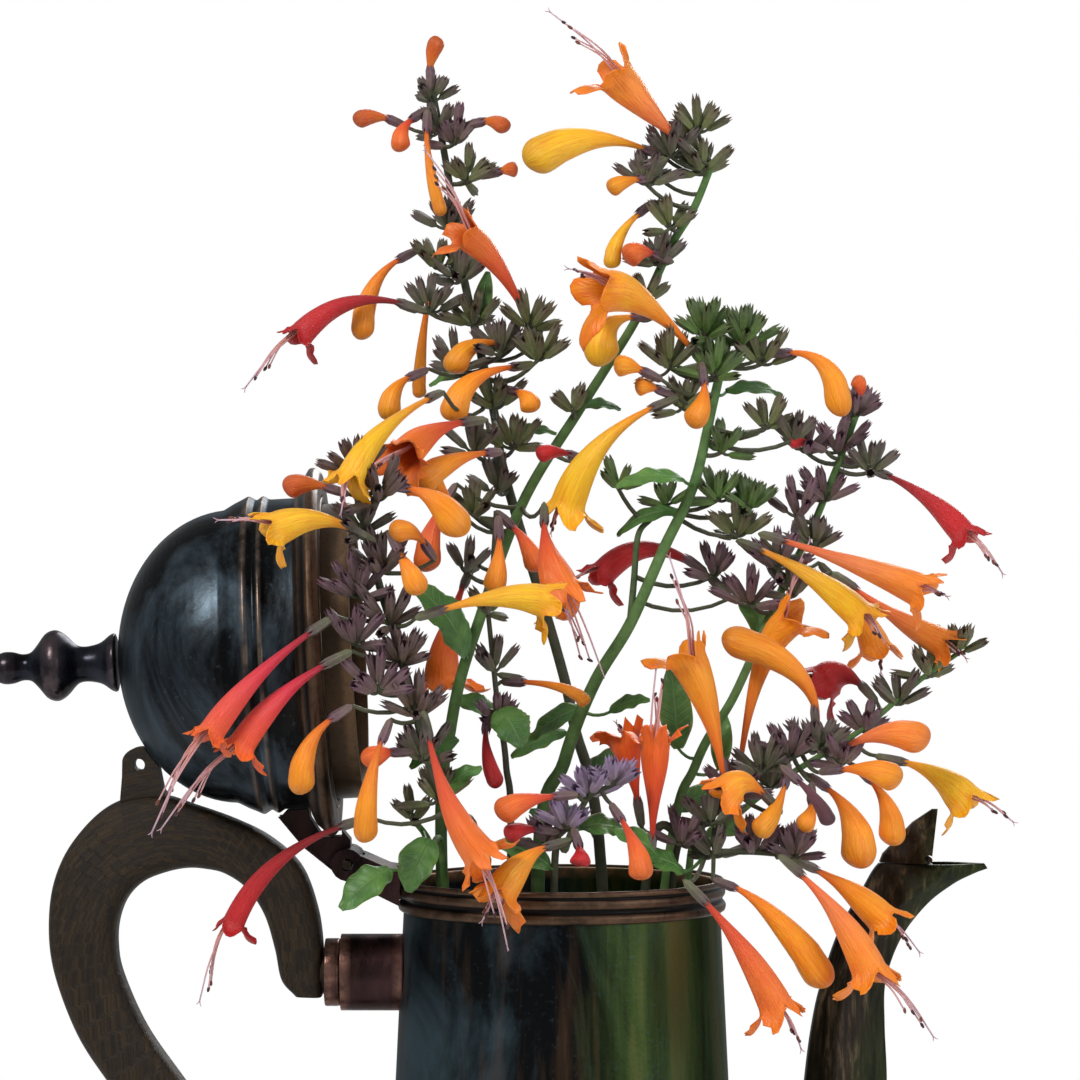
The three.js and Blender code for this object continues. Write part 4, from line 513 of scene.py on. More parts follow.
def flow_of(rows, columns, along=None):
    """For each point of a grid of rings: the cosine and sine of its place round, and its share along."""
    angle = np.linspace(0, 2 * np.pi, columns, endpoint=False)
    along = np.linspace(0, 1, rows) if along is None else along
    return np.stack([np.broadcast_to(np.cos(angle), (rows, columns)),
                     np.broadcast_to(np.sin(angle), (rows, columns)),
                     np.broadcast_to(along[:, None], (rows, columns))], -1)


def add_tube(skin, line, radii, tint, columns=8, up=(0, 1, 0), square=2.0, tangents=None):
    """A closed round rod along a line."""
    tangents = unit(np.gradient(line, axis=0)) if tangents is None else tangents
    rings = tube_rings(line, tangents, np.asarray(up, float), radii, columns, square=square)
    skin.closed_rings(rings, tint, flow_of(len(line), columns))


def add_corolla(skin, flower, seed):
    """An open corolla with its lips, stamens and style.

    The tube's radius widens from the foot to the mouth by a smooth step of the share along. Past the mouth
    each point of the rim runs on by its lobe's length L and turns outwards by its lobe's angle A in a round
    curl: out = L/A (1 - cos A u) and on = L/A sin A u, with a frill of sines. The inside is the same
    sheet set
    in by the petal's thickness, so the whole is closed.
    """
    _, _, colour, width, base, bend, mouth, reach = flower
    rng = np.random.default_rng(seed)
    base, bend, mouth, reach = (sprig_point(p) for p in (base, bend, mouth, reach))
    lip_share = 0.17
    length = np.linalg.norm(mouth - base)
    stop = base + (mouth - base) * (1 - lip_share * 0.55)
    line, tangents = arch(base, bend, stop, 24)
    up = upper_side(base, bend, mouth)
    columns, lip_rows = 40, 11
    angle = np.linspace(0, 2 * np.pi, columns, endpoint=False)
    s = np.linspace(0, 1, len(line))
    big = width * 0.52
    radii = 0.62 + (big - 0.62) * (0.30 * s + 0.70 * smooth_step((s - 0.05) / 0.97))
    ripple = 1 + 0.035 * s[:, None] ** 2 * np.sin(4 * angle + rng.uniform(0, 6))[None]
    ripple = ripple + 0.03 * np.sin(9 * s[:, None] + 2 * angle[None] + rng.uniform(0, 6)) * s[:, None]
    tube = tube_rings(line, tangents, up, radii[:, None] * ripple, columns, squash=0.90)
    # the lips: upper pair, two sides and the lower one
    degrees = np.degrees(np.angle(np.exp(1j * angle)))
    lobes = [(-22, 20, 1.45, 30), (22, 20, 1.4, 34), (-94, 29, 1.4, 92), (94, 29, 1.45, 86), (180, 36, 1.95,
        122)]
    reach_out, turn = np.full(columns, 0.42), np.full(columns, 42.0)
    weight = np.full(columns, 0.35)
    for place, spread, far, flare in lobes:
        far, flare = far * rng.uniform(0.86, 1.16), flare * rng.uniform(0.8, 1.2)
        near = np.exp(-(np.degrees(np.angle(np.exp(1j * np.radians(degrees - place)))) / spread) ** 2 * 0.9)
        reach_out = np.maximum(reach_out, 0.36 + far * near ** 1.2)
        turn, weight = turn + flare * near ** 0.7 * 3, weight + near ** 0.7 * 3
    turn = np.radians(turn / (weight + 0.65))
    lobe = reach_out * big * 0.98
    u = np.linspace(0, 1, lip_rows + 1)[1:, None]
    swing = turn[None] * u
    out = lobe / turn * (1 - np.cos(swing))
    on = lobe / turn * np.sin(swing)
    frill = big * u ** 1.7 * (0.15 * np.sin(11 * angle + rng.uniform(0,
        6)) + 0.11 * np.sin(17 * angle + 2 * u * 3
                              + rng.uniform(0, 6)) + 0.07 * np.sin(23 * angle + rng.uniform(0, 6)))
    lift, side = frames(tangents[-1:], up)
    rim = tube[-1] - line[-1]
    outward = unit(rim)
    out = out + frill * np.sin(swing + 0.35)
    on = on + frill * np.cos(swing + 0.35) * 0.8
    lips = tube[-1][None] + outward[None] * out[..., None] + tangents[-1] * on[..., None]
    sheet = np.concatenate([tube, lips])
    rows = len(sheet)
    over = np.roll(sheet, -1, 1) - np.roll(sheet, 1, 1)
    along = np.gradient(sheet, axis=0)
    normal = unit(np.cross(along, over))
    facing = np.sum(normal[len(line) // 2] * (sheet[len(line) // 2] - line[len(line) // 2]))
    normal = normal * np.sign(facing)
    thick = np.interp(np.arange(rows), [0, len(line) - 1, rows - 1], [0.28, 0.34, 0.20])[:, None, None]
    inner_from = 7
    inner = (sheet - normal * thick)[inner_from:][::-1]
    full = np.concatenate([sheet, inner])
    share = np.concatenate([np.linspace(0, 0.78, len(line)), np.linspace(0.8, 1, lip_rows)])
    tint = blend_tints(PETALS[colour], share)
    shade = rng.uniform(0.93, 1.05)
    tint = np.broadcast_to(tint[:, None], (rows, columns, 3)) * shade
    # painted shade: the inside of the lips and tube is darkened, from 0.9 at the lip edges to 0.72 deep in the
    # tube
    under = tint[inner_from:][::-1] * np.linspace(0.9, 0.72, rows - inner_from)[:, None, None]
    tints = np.concatenate([tint, under])
    flows = flow_of(rows, columns, share * length / 10)
    flows = np.concatenate([flows, flows[inner_from:][::-1]])
    skin.closed_rings(full, np.clip(tints, 0, 1), flows)
    add_stamens(skin, line, tangents, up, big, mouth, reach, rng)


def add_stamens(skin, line, tangents, up, big, mouth, reach, rng):
    """Four stamens with anthers and one longer style, each an arch from inside the tube to past the lips."""
    lift, side = frames(tangents[-1:], up)
    lift, side = lift[0], side[0]
    run = reach - mouth
    far = np.linalg.norm(run)
    start = line[-6]
    shares = [1.0, 0.82, 0.74, 0.62, 0.56]
    for index, share in enumerate(shares):
        fan = (index - 2) * 0.22
        spread = side * fan * big * 0.8 + lift * big * rng.uniform(0.1, 0.5)
        end = mouth + run * share + (side * rng.uniform(-1, 1) + lift * rng.uniform(-0.6, 0.6)) * far * 0.09
        door = line[-1] + spread * 0.8 + (mouth - line[-1]) * 0.5
        way = spline([start + spread * 0.4, door,
            (door + end) / 2 + (lift * 0.05 + side * 0.03 * fan) * far, end], 12)
        colour = linear(0.86, 0.76, 0.87) if index == 0 else linear(0.90, 0.74, 0.80)
        tint = np.linspace(linear(0.93, 0.55, 0.40), colour, 12)[:, None]
        add_tube(skin, way, np.linspace(0.30, 0.20, 12), tint, columns=6, up=side)
        tip, heading = way[-1], unit(way[-1] - way[-2])
        if index == 0:
            for half in (-1, 1):
                fork = spline([tip - heading * 0.2, tip + heading * 0.7 + lift * 0.25 * half,
                               tip + heading * 1.2 + lift * 0.7 * half], 4)
                add_tube(skin, fork, [0.15, 0.13, 0.11, 0.07], linear(0.80, 0.66, 0.76), columns=6, up=side)
        else:
            add_grain(skin, tip, unit(heading + side * rng.uniform(-1, 1)), 0.85, 0.42,
                      linear(*((0.28, 0.14, 0.20) if index % 2 else (0.48, 0.26, 0.20))))


def add_grain(skin, centre, axis, half, radius, tint, rows=5, columns=6):
    """A small ellipsoid: rings of radius x sin a at centre - axis x half x cos a."""
    a = np.linspace(0.35, np.pi - 0.35, rows)
    line = centre - axis * (half * np.cos(a))[:, None]
    add_tube(skin, line, radius * np.sin(a), tint, columns, up=np.cross(axis, [0.3, 0.9, 0.2]),
             tangents=np.broadcast_to(axis, (rows, 3)))


def add_bud(skin, flower, seed):
    """A closed bud: a club that widens to four fifths of its length, then rounds off, with four shallow
    folds."""
    _, _, colour, width, base, bend, mouth, _ = flower
    rng = np.random.default_rng(seed)
    base, bend, mouth = (sprig_point(p) for p in (base, bend, mouth))
    length = np.linalg.norm(mouth - base)
    widest = 1 - min(0.24, width * 0.42 / length)
    s = np.concatenate([np.linspace(0, widest, 17), widest + (1 - widest) * np.sin(np.linspace(0.12, 1.53,
        9))])
    fine, fine_tangents = arch(base, bend, mouth, 121)
    at = np.linspace(0, 1, 121)
    line = np.stack([np.interp(s, at, fine[:, k]) for k in range(3)], -1)
    tangents = unit(np.stack([np.interp(s, at, fine_tangents[:, k]) for k in range(3)], -1))
    big = width / 2
    grow = 0.6 + (big - 0.6) * (0.28 * s / widest + 0.72 * smooth_step((s / widest - 0.08) / 0.92))
    close = np.sqrt(np.clip(1 - ((s - widest) / (1 - widest)) ** 2, 0, 1))
    radii = np.where(s < widest, grow, big * close)
    columns = 28
    angle = np.linspace(0, 2 * np.pi, columns, endpoint=False)
    crease = 1 - 0.06 * (s ** 3)[:, None] * (1 - np.abs(np.sin(2 * angle + 0.4)))[None] ** 3
    belly = 1 + 0.10 * (smooth_step((s - 0.35) / 0.5) * close)[:, None] * np.cos(angle + np.pi)[None]
    dent = 1 + 0.03 * np.sin(11 * s[:, None] + 3 * angle[None] + rng.uniform(0, 6)) * s[:, None]
    up = upper_side(base, bend, mouth)
    rings = tube_rings(line, tangents, up, radii[:, None] * crease * belly * dent, columns, squash=0.93)
    stops = list(PETALS[colour][:3]) + [tuple(0.88 * part for part in PETALS[colour][2])]
    tint = blend_tints(stops, s)[:, None] * rng.uniform(0.92, 1.04)
    skin.closed_rings(rings, np.clip(tint, 0, 1), flow_of(len(s), columns, s * length / 10))


def add_calyx(skin, foot, heading, length, colour, rng, columns=10, wide=1.0):
    """A ribbed cup with five teeth: it widens from foot to mouth, the tooth tips stand past the notches
    between
    them, and the same wall comes back inside to a floor, so it is closed."""
    heading = unit(heading)
    up = unit(np.cross(heading, [0.21, 0.35, 0.91]) + 1e-3)
    angle = np.linspace(0, 2 * np.pi, columns, endpoint=False)
    tooth = 0.5 + 0.5 * np.cos(5 * angle)
    turn = rng.uniform(0, 2 * np.pi)
    lift, side = frames(heading[None], up)
    cosines, sines = np.cos(angle + turn)[:, None], np.sin(angle + turn)[:, None]
    round_way = cosines * lift + sines * side
    heights = [0.0, 0.12, 0.42, 0.74, 0.80, 0.55]
    radii = [0.42, 0.92, 1.14, 1.22, 1.12, 0.70]
    tips = [0, 0, 0, 0, 0.24, 0]
    rings = []
    for height, radius, tip in zip(heights, radii, tips):
        rib = radius * wide * (1 + (0.10 if 0.1 < height < 0.78 else 0) * (2 * tooth - 1))
        inward = 1 - (0.22 * tooth if tip else 0)
        level = height * length + tip * length * (tooth - 0.15)
        rings.append(foot + round_way * (rib * inward)[:, None] + heading * np.asarray(level)[..., None])
    rings = np.stack([np.broadcast_to(ring, (columns, 3)) for ring in rings])
    low, high = (linear(*stop) for stop in CALYCES[colour])
    share = np.array([0, 0.15, 0.5, 0.85, 1.0, 1.0])[:, None, None]
    vary = rng.uniform(0.95, 1.55)
    ridge = (0.86 + 0.28 * tooth)[None, :, None]
    tint = (low + (high - low) * share) * vary * ridge
    # painted shade: the floor ring inside the cup, the hub that shuts it and the inner wall leading down to it
    # are darkened
    tint[-1] *= 0.4
    skin.closed_rings(rings, np.clip(tint, 0, 1), flow_of(len(rings), columns))


def add_stalk(skin, start, end, tint, radius=0.42, sag=0.12):
    """A thin stalk from one point to another, bowed a little upwards in its middle."""
    middle = (start + end) / 2 + np.array([0, 0, -1]) * np.linalg.norm(end - start) * sag
    line, _ = arch(start, middle, end, 6)
    add_tube(skin, line, np.linspace(radius * 1.25, radius, 6), tint, columns=6, up=(0.1, 1, 0.2))


def stem_line(stem, count=90):
    """A stem's smooth line in millimetres and its radius at each point."""
    radii, _, route = STEMS[stem]
    return spline(sprig_point(route), count), np.linspace(*radii, count)


def nearest(line, point, above=150.0):
    """The point of a line that is nearest to a point, and a little lower, so that stalks rise to their
    end."""
    gap = np.linalg.norm(line - point, axis=1) + 0.55 * np.maximum(line[:, 2] - point[2], 0)
    gap = gap + 1000 * (line[:, 2] < above)
    return line[np.argmin(gap)]


def add_leaf(skin, leaf, seed):
    """A blade folded a little at its midrib: across it, height = fold x |v| - droop x v^2, and its half
    width is
    the width x sin(pi x s^0.8)^0.8, with round teeth where it is toothed. Top and underside meet in an
    edge."""
    _, _, width, base, tip, toothed = leaf
    rng = np.random.default_rng(seed)
    base, tip = sprig_point(base), sprig_point(tip)
    length = np.linalg.norm(tip - base)
    chord = unit(tip - base)
    up = unit(np.array([0, -0.65, 0.76]) - np.array([0, -0.65, 0.76]) @ chord * chord)
    bow = (base + tip) / 2 + up * length * rng.uniform(0.08, 0.16)
    rows, half_columns = 34, 9
    line, tangents = arch(base, bow, tip, rows)
    lift, side = frames(tangents, up)
    s = np.linspace(0, 1, rows)
    outline = width / 2 * np.sin(np.pi * np.clip(s * 0.93 + 0.03, 0, 1) ** 0.82) ** 0.85 + 0.25
    if toothed:
        outline = outline * (1 + 0.10 * (1 - (s * 9 % 1)) * np.sin(np.pi * s))
    v = np.linspace(-1, 1, half_columns)
    across = np.concatenate([v, v[::-1]])
    face = np.concatenate([np.ones(half_columns), -np.ones(half_columns)])
    edge = 1 - np.abs(across) ** 6
    thick = 0.16 + 0.38 * np.exp(-(across * 5) ** 2)
    wave = 0.05 * width * np.sin(5.5 * s * np.pi + rng.uniform(0, 6))[:, None] * (across ** 2)[None]
    veins = 0.035 * width * np.sin((s[:,
        None] * 8 - np.abs(across)[None] * 1.6) * np.pi) * np.abs(across)[None]
    height = outline[:, None] * (0.34 * np.abs(across) - 0.16 * across ** 2)[None] + wave + veins * 0.6
    height = height + (face * thick * edge)[None]
    rings = line[:, None] + side[:, None] * (outline[:, None] * across[None])[..., None] + lift[:,
        None] * height[..., None]
    if np.sum(np.cross(rings[5, 1] - rings[5, 0], rings[6, 0] - rings[5, 0]) * lift[5]) > 0:
        rings = rings[:, ::-1]
        across, face = across[::-1], face[::-1]
    flows = np.stack([np.broadcast_to(across, (rows, 2 * half_columns)),
                      np.broadcast_to(face, (rows, 2 * half_columns)),
                      np.broadcast_to((s * length / 10)[:, None], (rows, 2 * half_columns))], -1)
    tone = rng.uniform(0.85, 1.15)
    tint = np.broadcast_to(linear(0.30, 0.47, 0.22) * tone, (rows, 2 * half_columns, 3))
    skin.closed_rings(rings, tint, flows)


# ------------------------------------------------------------------ pot shapes


def soften(loop, reach, closed=True, steps=4):
    """Each corner of an outline gives way to a parabola that leaves and joins its sides by reach at most.

    Works on a stack of outlines too: the corners lie along the last axis but one.
    """
    before, after = np.roll(loop, 1, -2), np.roll(loop, -1, -2)
    if not closed:
        before[..., 0, :], after[..., -1, :] = loop[..., 0, :], loop[..., -1, :]
    back, ahead = before - loop, after - loop
    long_back = np.linalg.norm(back, axis=-1, keepdims=True)
    long_ahead = np.linalg.norm(ahead, axis=-1, keepdims=True)
    start = loop + back / np.maximum(long_back, 1e-9) * np.minimum(reach, 0.42 * long_back)
    end = loop + ahead / np.maximum(long_ahead, 1e-9) * np.minimum(reach, 0.42 * long_ahead)
    t = np.linspace(0, 1, steps)[:, None]
    bent = (1 - t) ** 2 * start[..., None, :] + 2 * t * (1 - t) * loop[..., None, :] + t**2 * end[..., None,
        :]
    return bent.reshape(*loop.shape[:-2], -1, loop.shape[-1])


def with_steps(loop, step, closed=True):
    """An outline with more points along its long straight stretches, no two further apart than about a
    step."""
    points = np.vstack([loop, loop[:1]]) if closed else loop
    spans = np.linalg.norm(np.diff(points, axis=0), axis=1)
    shares = [np.arange(n) / n for n in np.maximum(1, np.ceil(spans / step)).astype(int)]
    place = np.concatenate([k + share for k,
        share in enumerate(shares)] + ([] if closed else [[len(loop) - 1.0]]))
    return np.stack([np.interp(place, np.arange(len(points)), points[:, axis]) for axis in (0, 1)], -1)


def wear_of(profile):
    """How worn each point of a closed profile is: 1 on a sharp outward corner, 0.5 on a flat, 0 in a
    groove."""
    ahead = unit(np.roll(profile, -2, 0) - profile)
    behind = unit(profile - np.roll(profile, 2, 0))
    turn = behind[:, 0] * ahead[:, 1] - behind[:, 1] * ahead[:, 0]
    area = np.sum(profile[:, 0] * np.roll(profile[:, 1], -1) - np.roll(profile[:, 0], -1) * profile[:, 1])
    return np.clip(0.5 + 0.8 * turn * np.sign(area), 0, 1)


def axes_of(axis):
    """Two directions across an axis."""
    axis = unit(np.asarray(axis, float))
    one = unit(np.cross([0.0, 1.0, 0.0] if abs(axis[1]) < 0.9 else [1.0, 0.0, 0.0], axis))
    return axis, one, np.cross(axis, one)


def add_turned(skin, profile, origin=(0, 0, 0), axis=(0, 0, 1), sides=192, soft=0.5):
    """A turned piece: each [radius, height] of a closed profile is a circle about the axis. Where the profile
    starts and ends on the axis, its first and last circle are tiny ones, shut by a hub."""
    profile = np.asarray(profile, float)
    on_axis = profile[0, 0] < 1e-6 and profile[-1, 0] < 1e-6
    if on_axis:
        profile = profile + np.array([1e-3, 0]) * (profile[:, :1] < 1e-6)
        loop = soften(profile, soft, closed=False)
        loop = loop[3:-3]
    else:
        loop = soften(profile, soft)
    loop = with_steps(loop, 3.0, closed=not on_axis)
    axis, one, other = axes_of(axis)
    angle = np.linspace(0, 2 * np.pi, sides, endpoint=False)
    ring = np.cos(angle)[:, None] * one + np.sin(angle)[:, None] * other
    rings = np.asarray(origin, float) + loop[:, 0, None, None] * ring[None] + loop[:, 1, None, None] * axis
    wear = wear_of(loop)[:, None, None] * np.ones(3)
    tints = np.broadcast_to(wear, rings.shape)
    flows = flow_of(len(loop), sides, loop[:, 1] / 10)
    clockwise = np.sum(loop[:, 0] * np.roll(loop[:, 1], -1) - np.roll(loop[:, 0], -1) * loop[:, 1]) > 0
    if not clockwise:
        rings, tints, flows = rings[::-1], tints[::-1], flows[::-1]
    if on_axis:
        skin.closed_rings(rings, tints, flows)
    else:
        skin.add(rings, grid_faces(len(loop), sides, wrap_rows=True), tints, flows)


def bowl_arc(shrink, start, end, steps=24):
    """The lid's crown: an ellipse quadrant, [radius x cos a, height x sin a] above the dome's shoulder."""
    a = np.linspace(start, end, steps)
    rise = LID["apex"] - LID["dome_from"] - shrink
    return np.stack([(LID["crown"] - shrink) * np.cos(a), LID["dome_from"] + rise * np.sin(a)], -1)


def add_loft(skin, rings, tint=(0.5, 0.5, 0.5)):
    """A skin over rings of equal point count, closed by a hub at each end."""
    skin.closed_rings(rings, np.asarray(tint), flow_of(*rings.shape[:2]))


def add_slab(skin, outline, depth):
    """An outline of [x, z] points in the middle plane, given its depth along Y."""
    outline = np.asarray(outline, float)
    near = np.stack([outline[:, 0], np.full(len(outline), -depth / 2), outline[:, 1]], -1)
    far = near + np.array([0, depth, 0])
    add_loft(skin, np.stack([near, far]))


def facing_out(piece):
    """Turns a mesh's faces outwards."""
    work = bmesh.new()
    work.from_mesh(piece.data)
    bmesh.ops.recalc_face_normals(work, faces=work.faces)
    work.to_mesh(piece.data)
    work.free()
    return piece


def carve(piece, tool, operation="DIFFERENCE"):
    """Cuts a tool from a piece, or joins it on, and throws the tool away."""
    change = piece.modifiers.new("carve", "BOOLEAN")
    change.object, change.operation, change.solver = tool, operation, "EXACT"
    bpy.context.view_layer.update()
    shaped = bpy.data.meshes.new_from_object(piece.evaluated_get(bpy.context.evaluated_depsgraph_get()))
    piece.modifiers.clear()
    piece.data, old = shaped, piece.data
    bpy.data.meshes.remove(old)
    bpy.data.objects.remove(tool)
    return piece


def smooth_shade(piece, degrees=32):
    """Smooth shading with edges sharper than the angle kept crisp."""
    piece.data.polygons.foreach_set("use_smooth", np.ones(len(piece.data.polygons), bool))
    piece.data.set_sharp_from_angle(angle=math.radians(degrees))
    return piece


def refined(node, name, look, slot, body, bevel=0.25):
    """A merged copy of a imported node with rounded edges, which stands for it."""
    mesh = FRAME["nodes"][node].data.copy()
    work = bmesh.new()
    work.from_mesh(mesh)
    bmesh.ops.remove_doubles(work, verts=work.verts, dist=1e-6)
    bmesh.ops.dissolve_limit(work, angle_limit=math.radians(1.5), verts=work.verts, edges=work.edges)
    work.to_mesh(mesh)
    work.free()
    mesh.materials.clear()
    mesh.materials.append(look)
    piece = bpy.data.objects.new(name, mesh)
    bpy.context.scene.collection.objects.link(piece)
    smooth_shade(piece)
    edge = piece.modifiers.new("rounded edges", "BEVEL")
    edge.width, edge.segments, edge.limit_method = bevel * MM, 3, "ANGLE"
    edge.angle_limit = math.radians(30)
    edge.harden_normals = True
    return settle(piece, slot, node, body=body)


# The open lid's own axis: it runs towards -X, a little down, from the middle of its mouth.
DROOP = math.radians(3)
LID = {"radius": 38.7, "dome_from": 23.5, "apex": 53.2, "crown": 36.6, "wall": 1.5,
       "mouth": np.array([-57.6, 0.0, 212.2]), "axis": np.array([-math.cos(DROOP), 0.0, -math.sin(DROOP)])}
GAP = 0.35  # between pieces that meet

# The handle's stations, [outer x, outer z, inner x, inner z], from the upper end round to the lower end
HANDLE_LINE = [
    [-59.9, 126.2, -66.5, 126.4], [-59.6, 129, -70, 130.5], [-59.6, 138, -71.6, 138], [-61, 148, -74.2,
        146.5],
    [-65, 158.5, -78.5, 153], [-72.5, 165.6, -84, 156.8], [-81, 170, -89, 158], [-91, 173.6, -93.5, 158.2],
    [-101, 176.4, -98.5, 157.2], [-112.5, 174, -104, 155], [-121.5, 165.5, -108.2, 151],
    [-126.5, 155.5, -110.5, 145.5], [-128, 144, -111, 139], [-126.6, 132, -109.6, 131.5], [-121, 117,
        -103.8, 118.5],
    [-113.3, 105, -95, 105.8], [-102, 90, -86, 94], [-90, 76.5, -77.5, 84], [-78.5, 63, -70.5, 75.5],
    [-69, 53.2, -65, 67.8], [-59.7, 50.4, -59.7, 65.6],
]

# The spout's stations, [back x, back z, front x, front z, half width, side ridge's place from back to front]
SPOUT_LINE = [
    [34, 66, 34, 12, 15, 0.5], [47, 67, 55, 17, 14.5, 0.5], [53, 73, 67, 33, 13, 0.45], [57, 82, 74.5, 56,
        11.5, 0.4],
    [59.5, 92, 79.5, 80, 10.4, 0.35], [60.6, 105, 81, 103, 9.4, 0.33], [62.2, 117.5, 80.5, 119, 8.6, 0.33],
    [64.4, 128, 80.8, 130, 8, 0.36], [69, 141.8, 84.6, 140.6, 7.6, 0.5], [74.8, 152.3, 91, 149, 7.4, 0.62],
    [80.4, 160.2, 97.4, 154, 7.2, 0.72], [91, 163, 102.2, 156.4, 5.4, 0.6], [105.4, 159.4, 106.4, 157.9,
        0.8, 0.5],
]
SOCKET_HEIGHTS = {"upper": 132.0, "lower": 58.0}
SOCKET_LEFT = -59.2  # where both sockets end
BUD_CALYX = 0.8  # a bud's calyx against an open flower's
GOLDEN_ANGLE = 2.39996  # the turn from one calyx of a whorl to the next


def pot_radius(z):
    """The wall's outer radius at a height: it narrows evenly from the foot to the mouth."""
    pot = bpy.context.scene.agastache_pot
    foot, mouth = pot.foot_radius / MM, pot.mouth_radius / MM
    return foot + (mouth - foot) * z / POT_HIGH[2]


def pot_cone(name):
    """The space of the pot's outside, and a little more, to cut other pieces by."""
    skin = Skin()
    low, high = -20.0, 200.0
    add_turned(skin, [[0, low], [pot_radius(low) + GAP, low], [pot_radius(high) + GAP, high], [0, high]],
        soft=0.01)
    return facing_out(skin.make(name, bpy.data.materials[0]))


def box_tool(name, low, high):
    """A plain box to cut by."""
    (x0, y0, z0), (x1, y1, z1) = low, high
    skin = Skin()
    ring = np.array([[x0, y0], [x1, y0], [x1, y1], [x0, y1]])
    rings = np.stack([np.hstack([ring, np.full((4, 1), z)]) for z in (z0, z1)])
    add_loft(skin, rings)
    return facing_out(skin.make(name, bpy.data.materials[0]))


def spout_rings(inset, rows=90):
    """The spout's six-sided skin: a ridge down each side, a narrow flat behind and in front, set in by
    inset."""
    back_x, back_z, front_x, front_z, half, ridge = spline(SPOUT_LINE, rows).T
    back = np.stack([back_x, np.zeros(rows), back_z], -1)
    front = np.stack([front_x, np.zeros(rows), front_z], -1)
    span = np.linalg.norm(front - back, axis=1)
    thin = np.minimum(inset, 0.42 * np.minimum(span, half))
    across = unit(front - back)

    def corner(share, side):
        point = back + across * (thin + (span - 2 * thin) * share)[:, None]
        point[:, 1] = side * (half - thin)
        return point

    ones = np.ones(rows)
    loop = [corner(0 * ones, 0.3), corner(ridge, 1), corner(ones, 0.34), corner(ones, -0.34), corner(ridge,
        -1),
            corner(0 * ones, -0.3)]
    return soften(np.stack(loop, 1), 0.9 if inset == 0 else 0.6)


# ------------------------------------------------------------------ materials


class Look:
    """A material and short calls that add nodes to it."""

    def __init__(self, name, roughness=0.5, metallic=0.0):
        self.material = bpy.data.materials.new(name)
        self.material.use_nodes = True
        self.tree = self.material.node_tree
        self.tree.nodes.clear()
        self.surface = self.tree.nodes.new("ShaderNodeBsdfPrincipled")
        ending = self.tree.nodes.new("ShaderNodeOutputMaterial")
        self.tree.links.new(self.surface.outputs[0], ending.inputs[0])
        self.set(Roughness=roughness, Metallic=metallic)

    def feed(self, socket, value):
        """Joins a node's output to a socket, or sets the socket to a plain value."""
        if isinstance(value, bpy.types.NodeSocket):
            self.tree.links.new(value, socket)
        elif socket.type == "RGBA":
            socket.default_value = (*value, 1.0)
        else:
            socket.default_value = value

    def set(self, **values):
        """Sets the surface's own sockets; an underscore stands for a space."""
        for name, value in values.items():
            self.feed(self.surface.inputs[name.replace("_", " ")], value)
        return self

    def node(self, kind, feeds, result=0, **options):
        made = self.tree.nodes.new("ShaderNode" + kind)
        for name, value in options.items():
            setattr(made, name, value)
        for name, value in feeds.items():
            self.feed(made.inputs[name], value)
        return made.outputs[result]

    def place(self, scale=(1, 1, 1), turn=(0, 0, 0), shift=(0, 0, 0)):
        """The place on the object, turned, moved and scaled; metres times scale."""
        where = self.node("TexCoord", {}, result="Object")
        return self.node("Mapping", {"Vector": where, "Scale": scale, "Rotation": turn, "Location": shift})

    def part(self, axis, where=None):
        """One of the place's three numbers, in metres."""
        where = self.place() if where is None else where
        return self.node("SeparateXYZ", {"Vector": where}, result=axis)

    def kept(self, name, result="Vector"):
        """A value stored on the mesh's points."""
        return self.node("Attribute", {}, result=result, attribute_name=name)

    def stretch(self, vector, scale, shift=(0, 0, 0)):
        return self.node("Mapping", {"Vector": vector, "Scale": scale, "Location": shift})

    def noise(self, vector, scale, detail=4.0, rough=0.55, warp=0.0):
        feeds = {"Vector": vector, "Scale": scale, "Detail": detail, "Roughness": rough, "Distortion": warp}
        return self.node("TexNoise", feeds, result=0)

    def ramp(self, value, stops):
        """A colour, or a grey when the stops are single numbers, by value."""
        made = self.tree.nodes.new("ShaderNodeValToRGB")
        self.feed(made.inputs[0], value)
        scale = made.color_ramp.elements
        while len(scale) < len(stops):
            scale.new(0.5)
        for element, (place, colour) in zip(scale, stops):
            element.position = place
            colour = (colour,) * 3 if np.isscalar(colour) else tuple(linear(*colour))
            element.color = (*colour, 1)
        return made.outputs[0]

    def blend(self, share, first, second, mode="MIX"):
        """Two colours blended by share."""
        made = self.tree.nodes.new("ShaderNodeMix")
        made.data_type, made.blend_type, made.clamp_factor = "RGBA", mode, True
        for socket, value in zip((made.inputs[0], made.inputs[6], made.inputs[7]), (share, first, second)):
            self.feed(socket, value)
        return made.outputs[2]

    def sum(self, first, second, operation="ADD"):
        made = self.tree.nodes.new("ShaderNodeMath")
        made.operation = operation
        self.feed(made.inputs[0], first)
        self.feed(made.inputs[1], second)
        return made.outputs[0]

    def rise(self, value, start, end, low=0.0, high=1.0):
        """A value's share of the way from start to end, as a number from low to high, kept between them."""
        feeds = {"Value": value, "From Min": start, "From Max": end, "To Min": low, "To Max": high}
        return self.node("MapRange", feeds, result=0)

    def bump(self, height, strength, distance, over=None):
        feeds = {"Height": height, "Strength": strength, "Distance": distance}
        if over is not None:
            feeds["Normal"] = over
        return self.node("Bump", feeds)


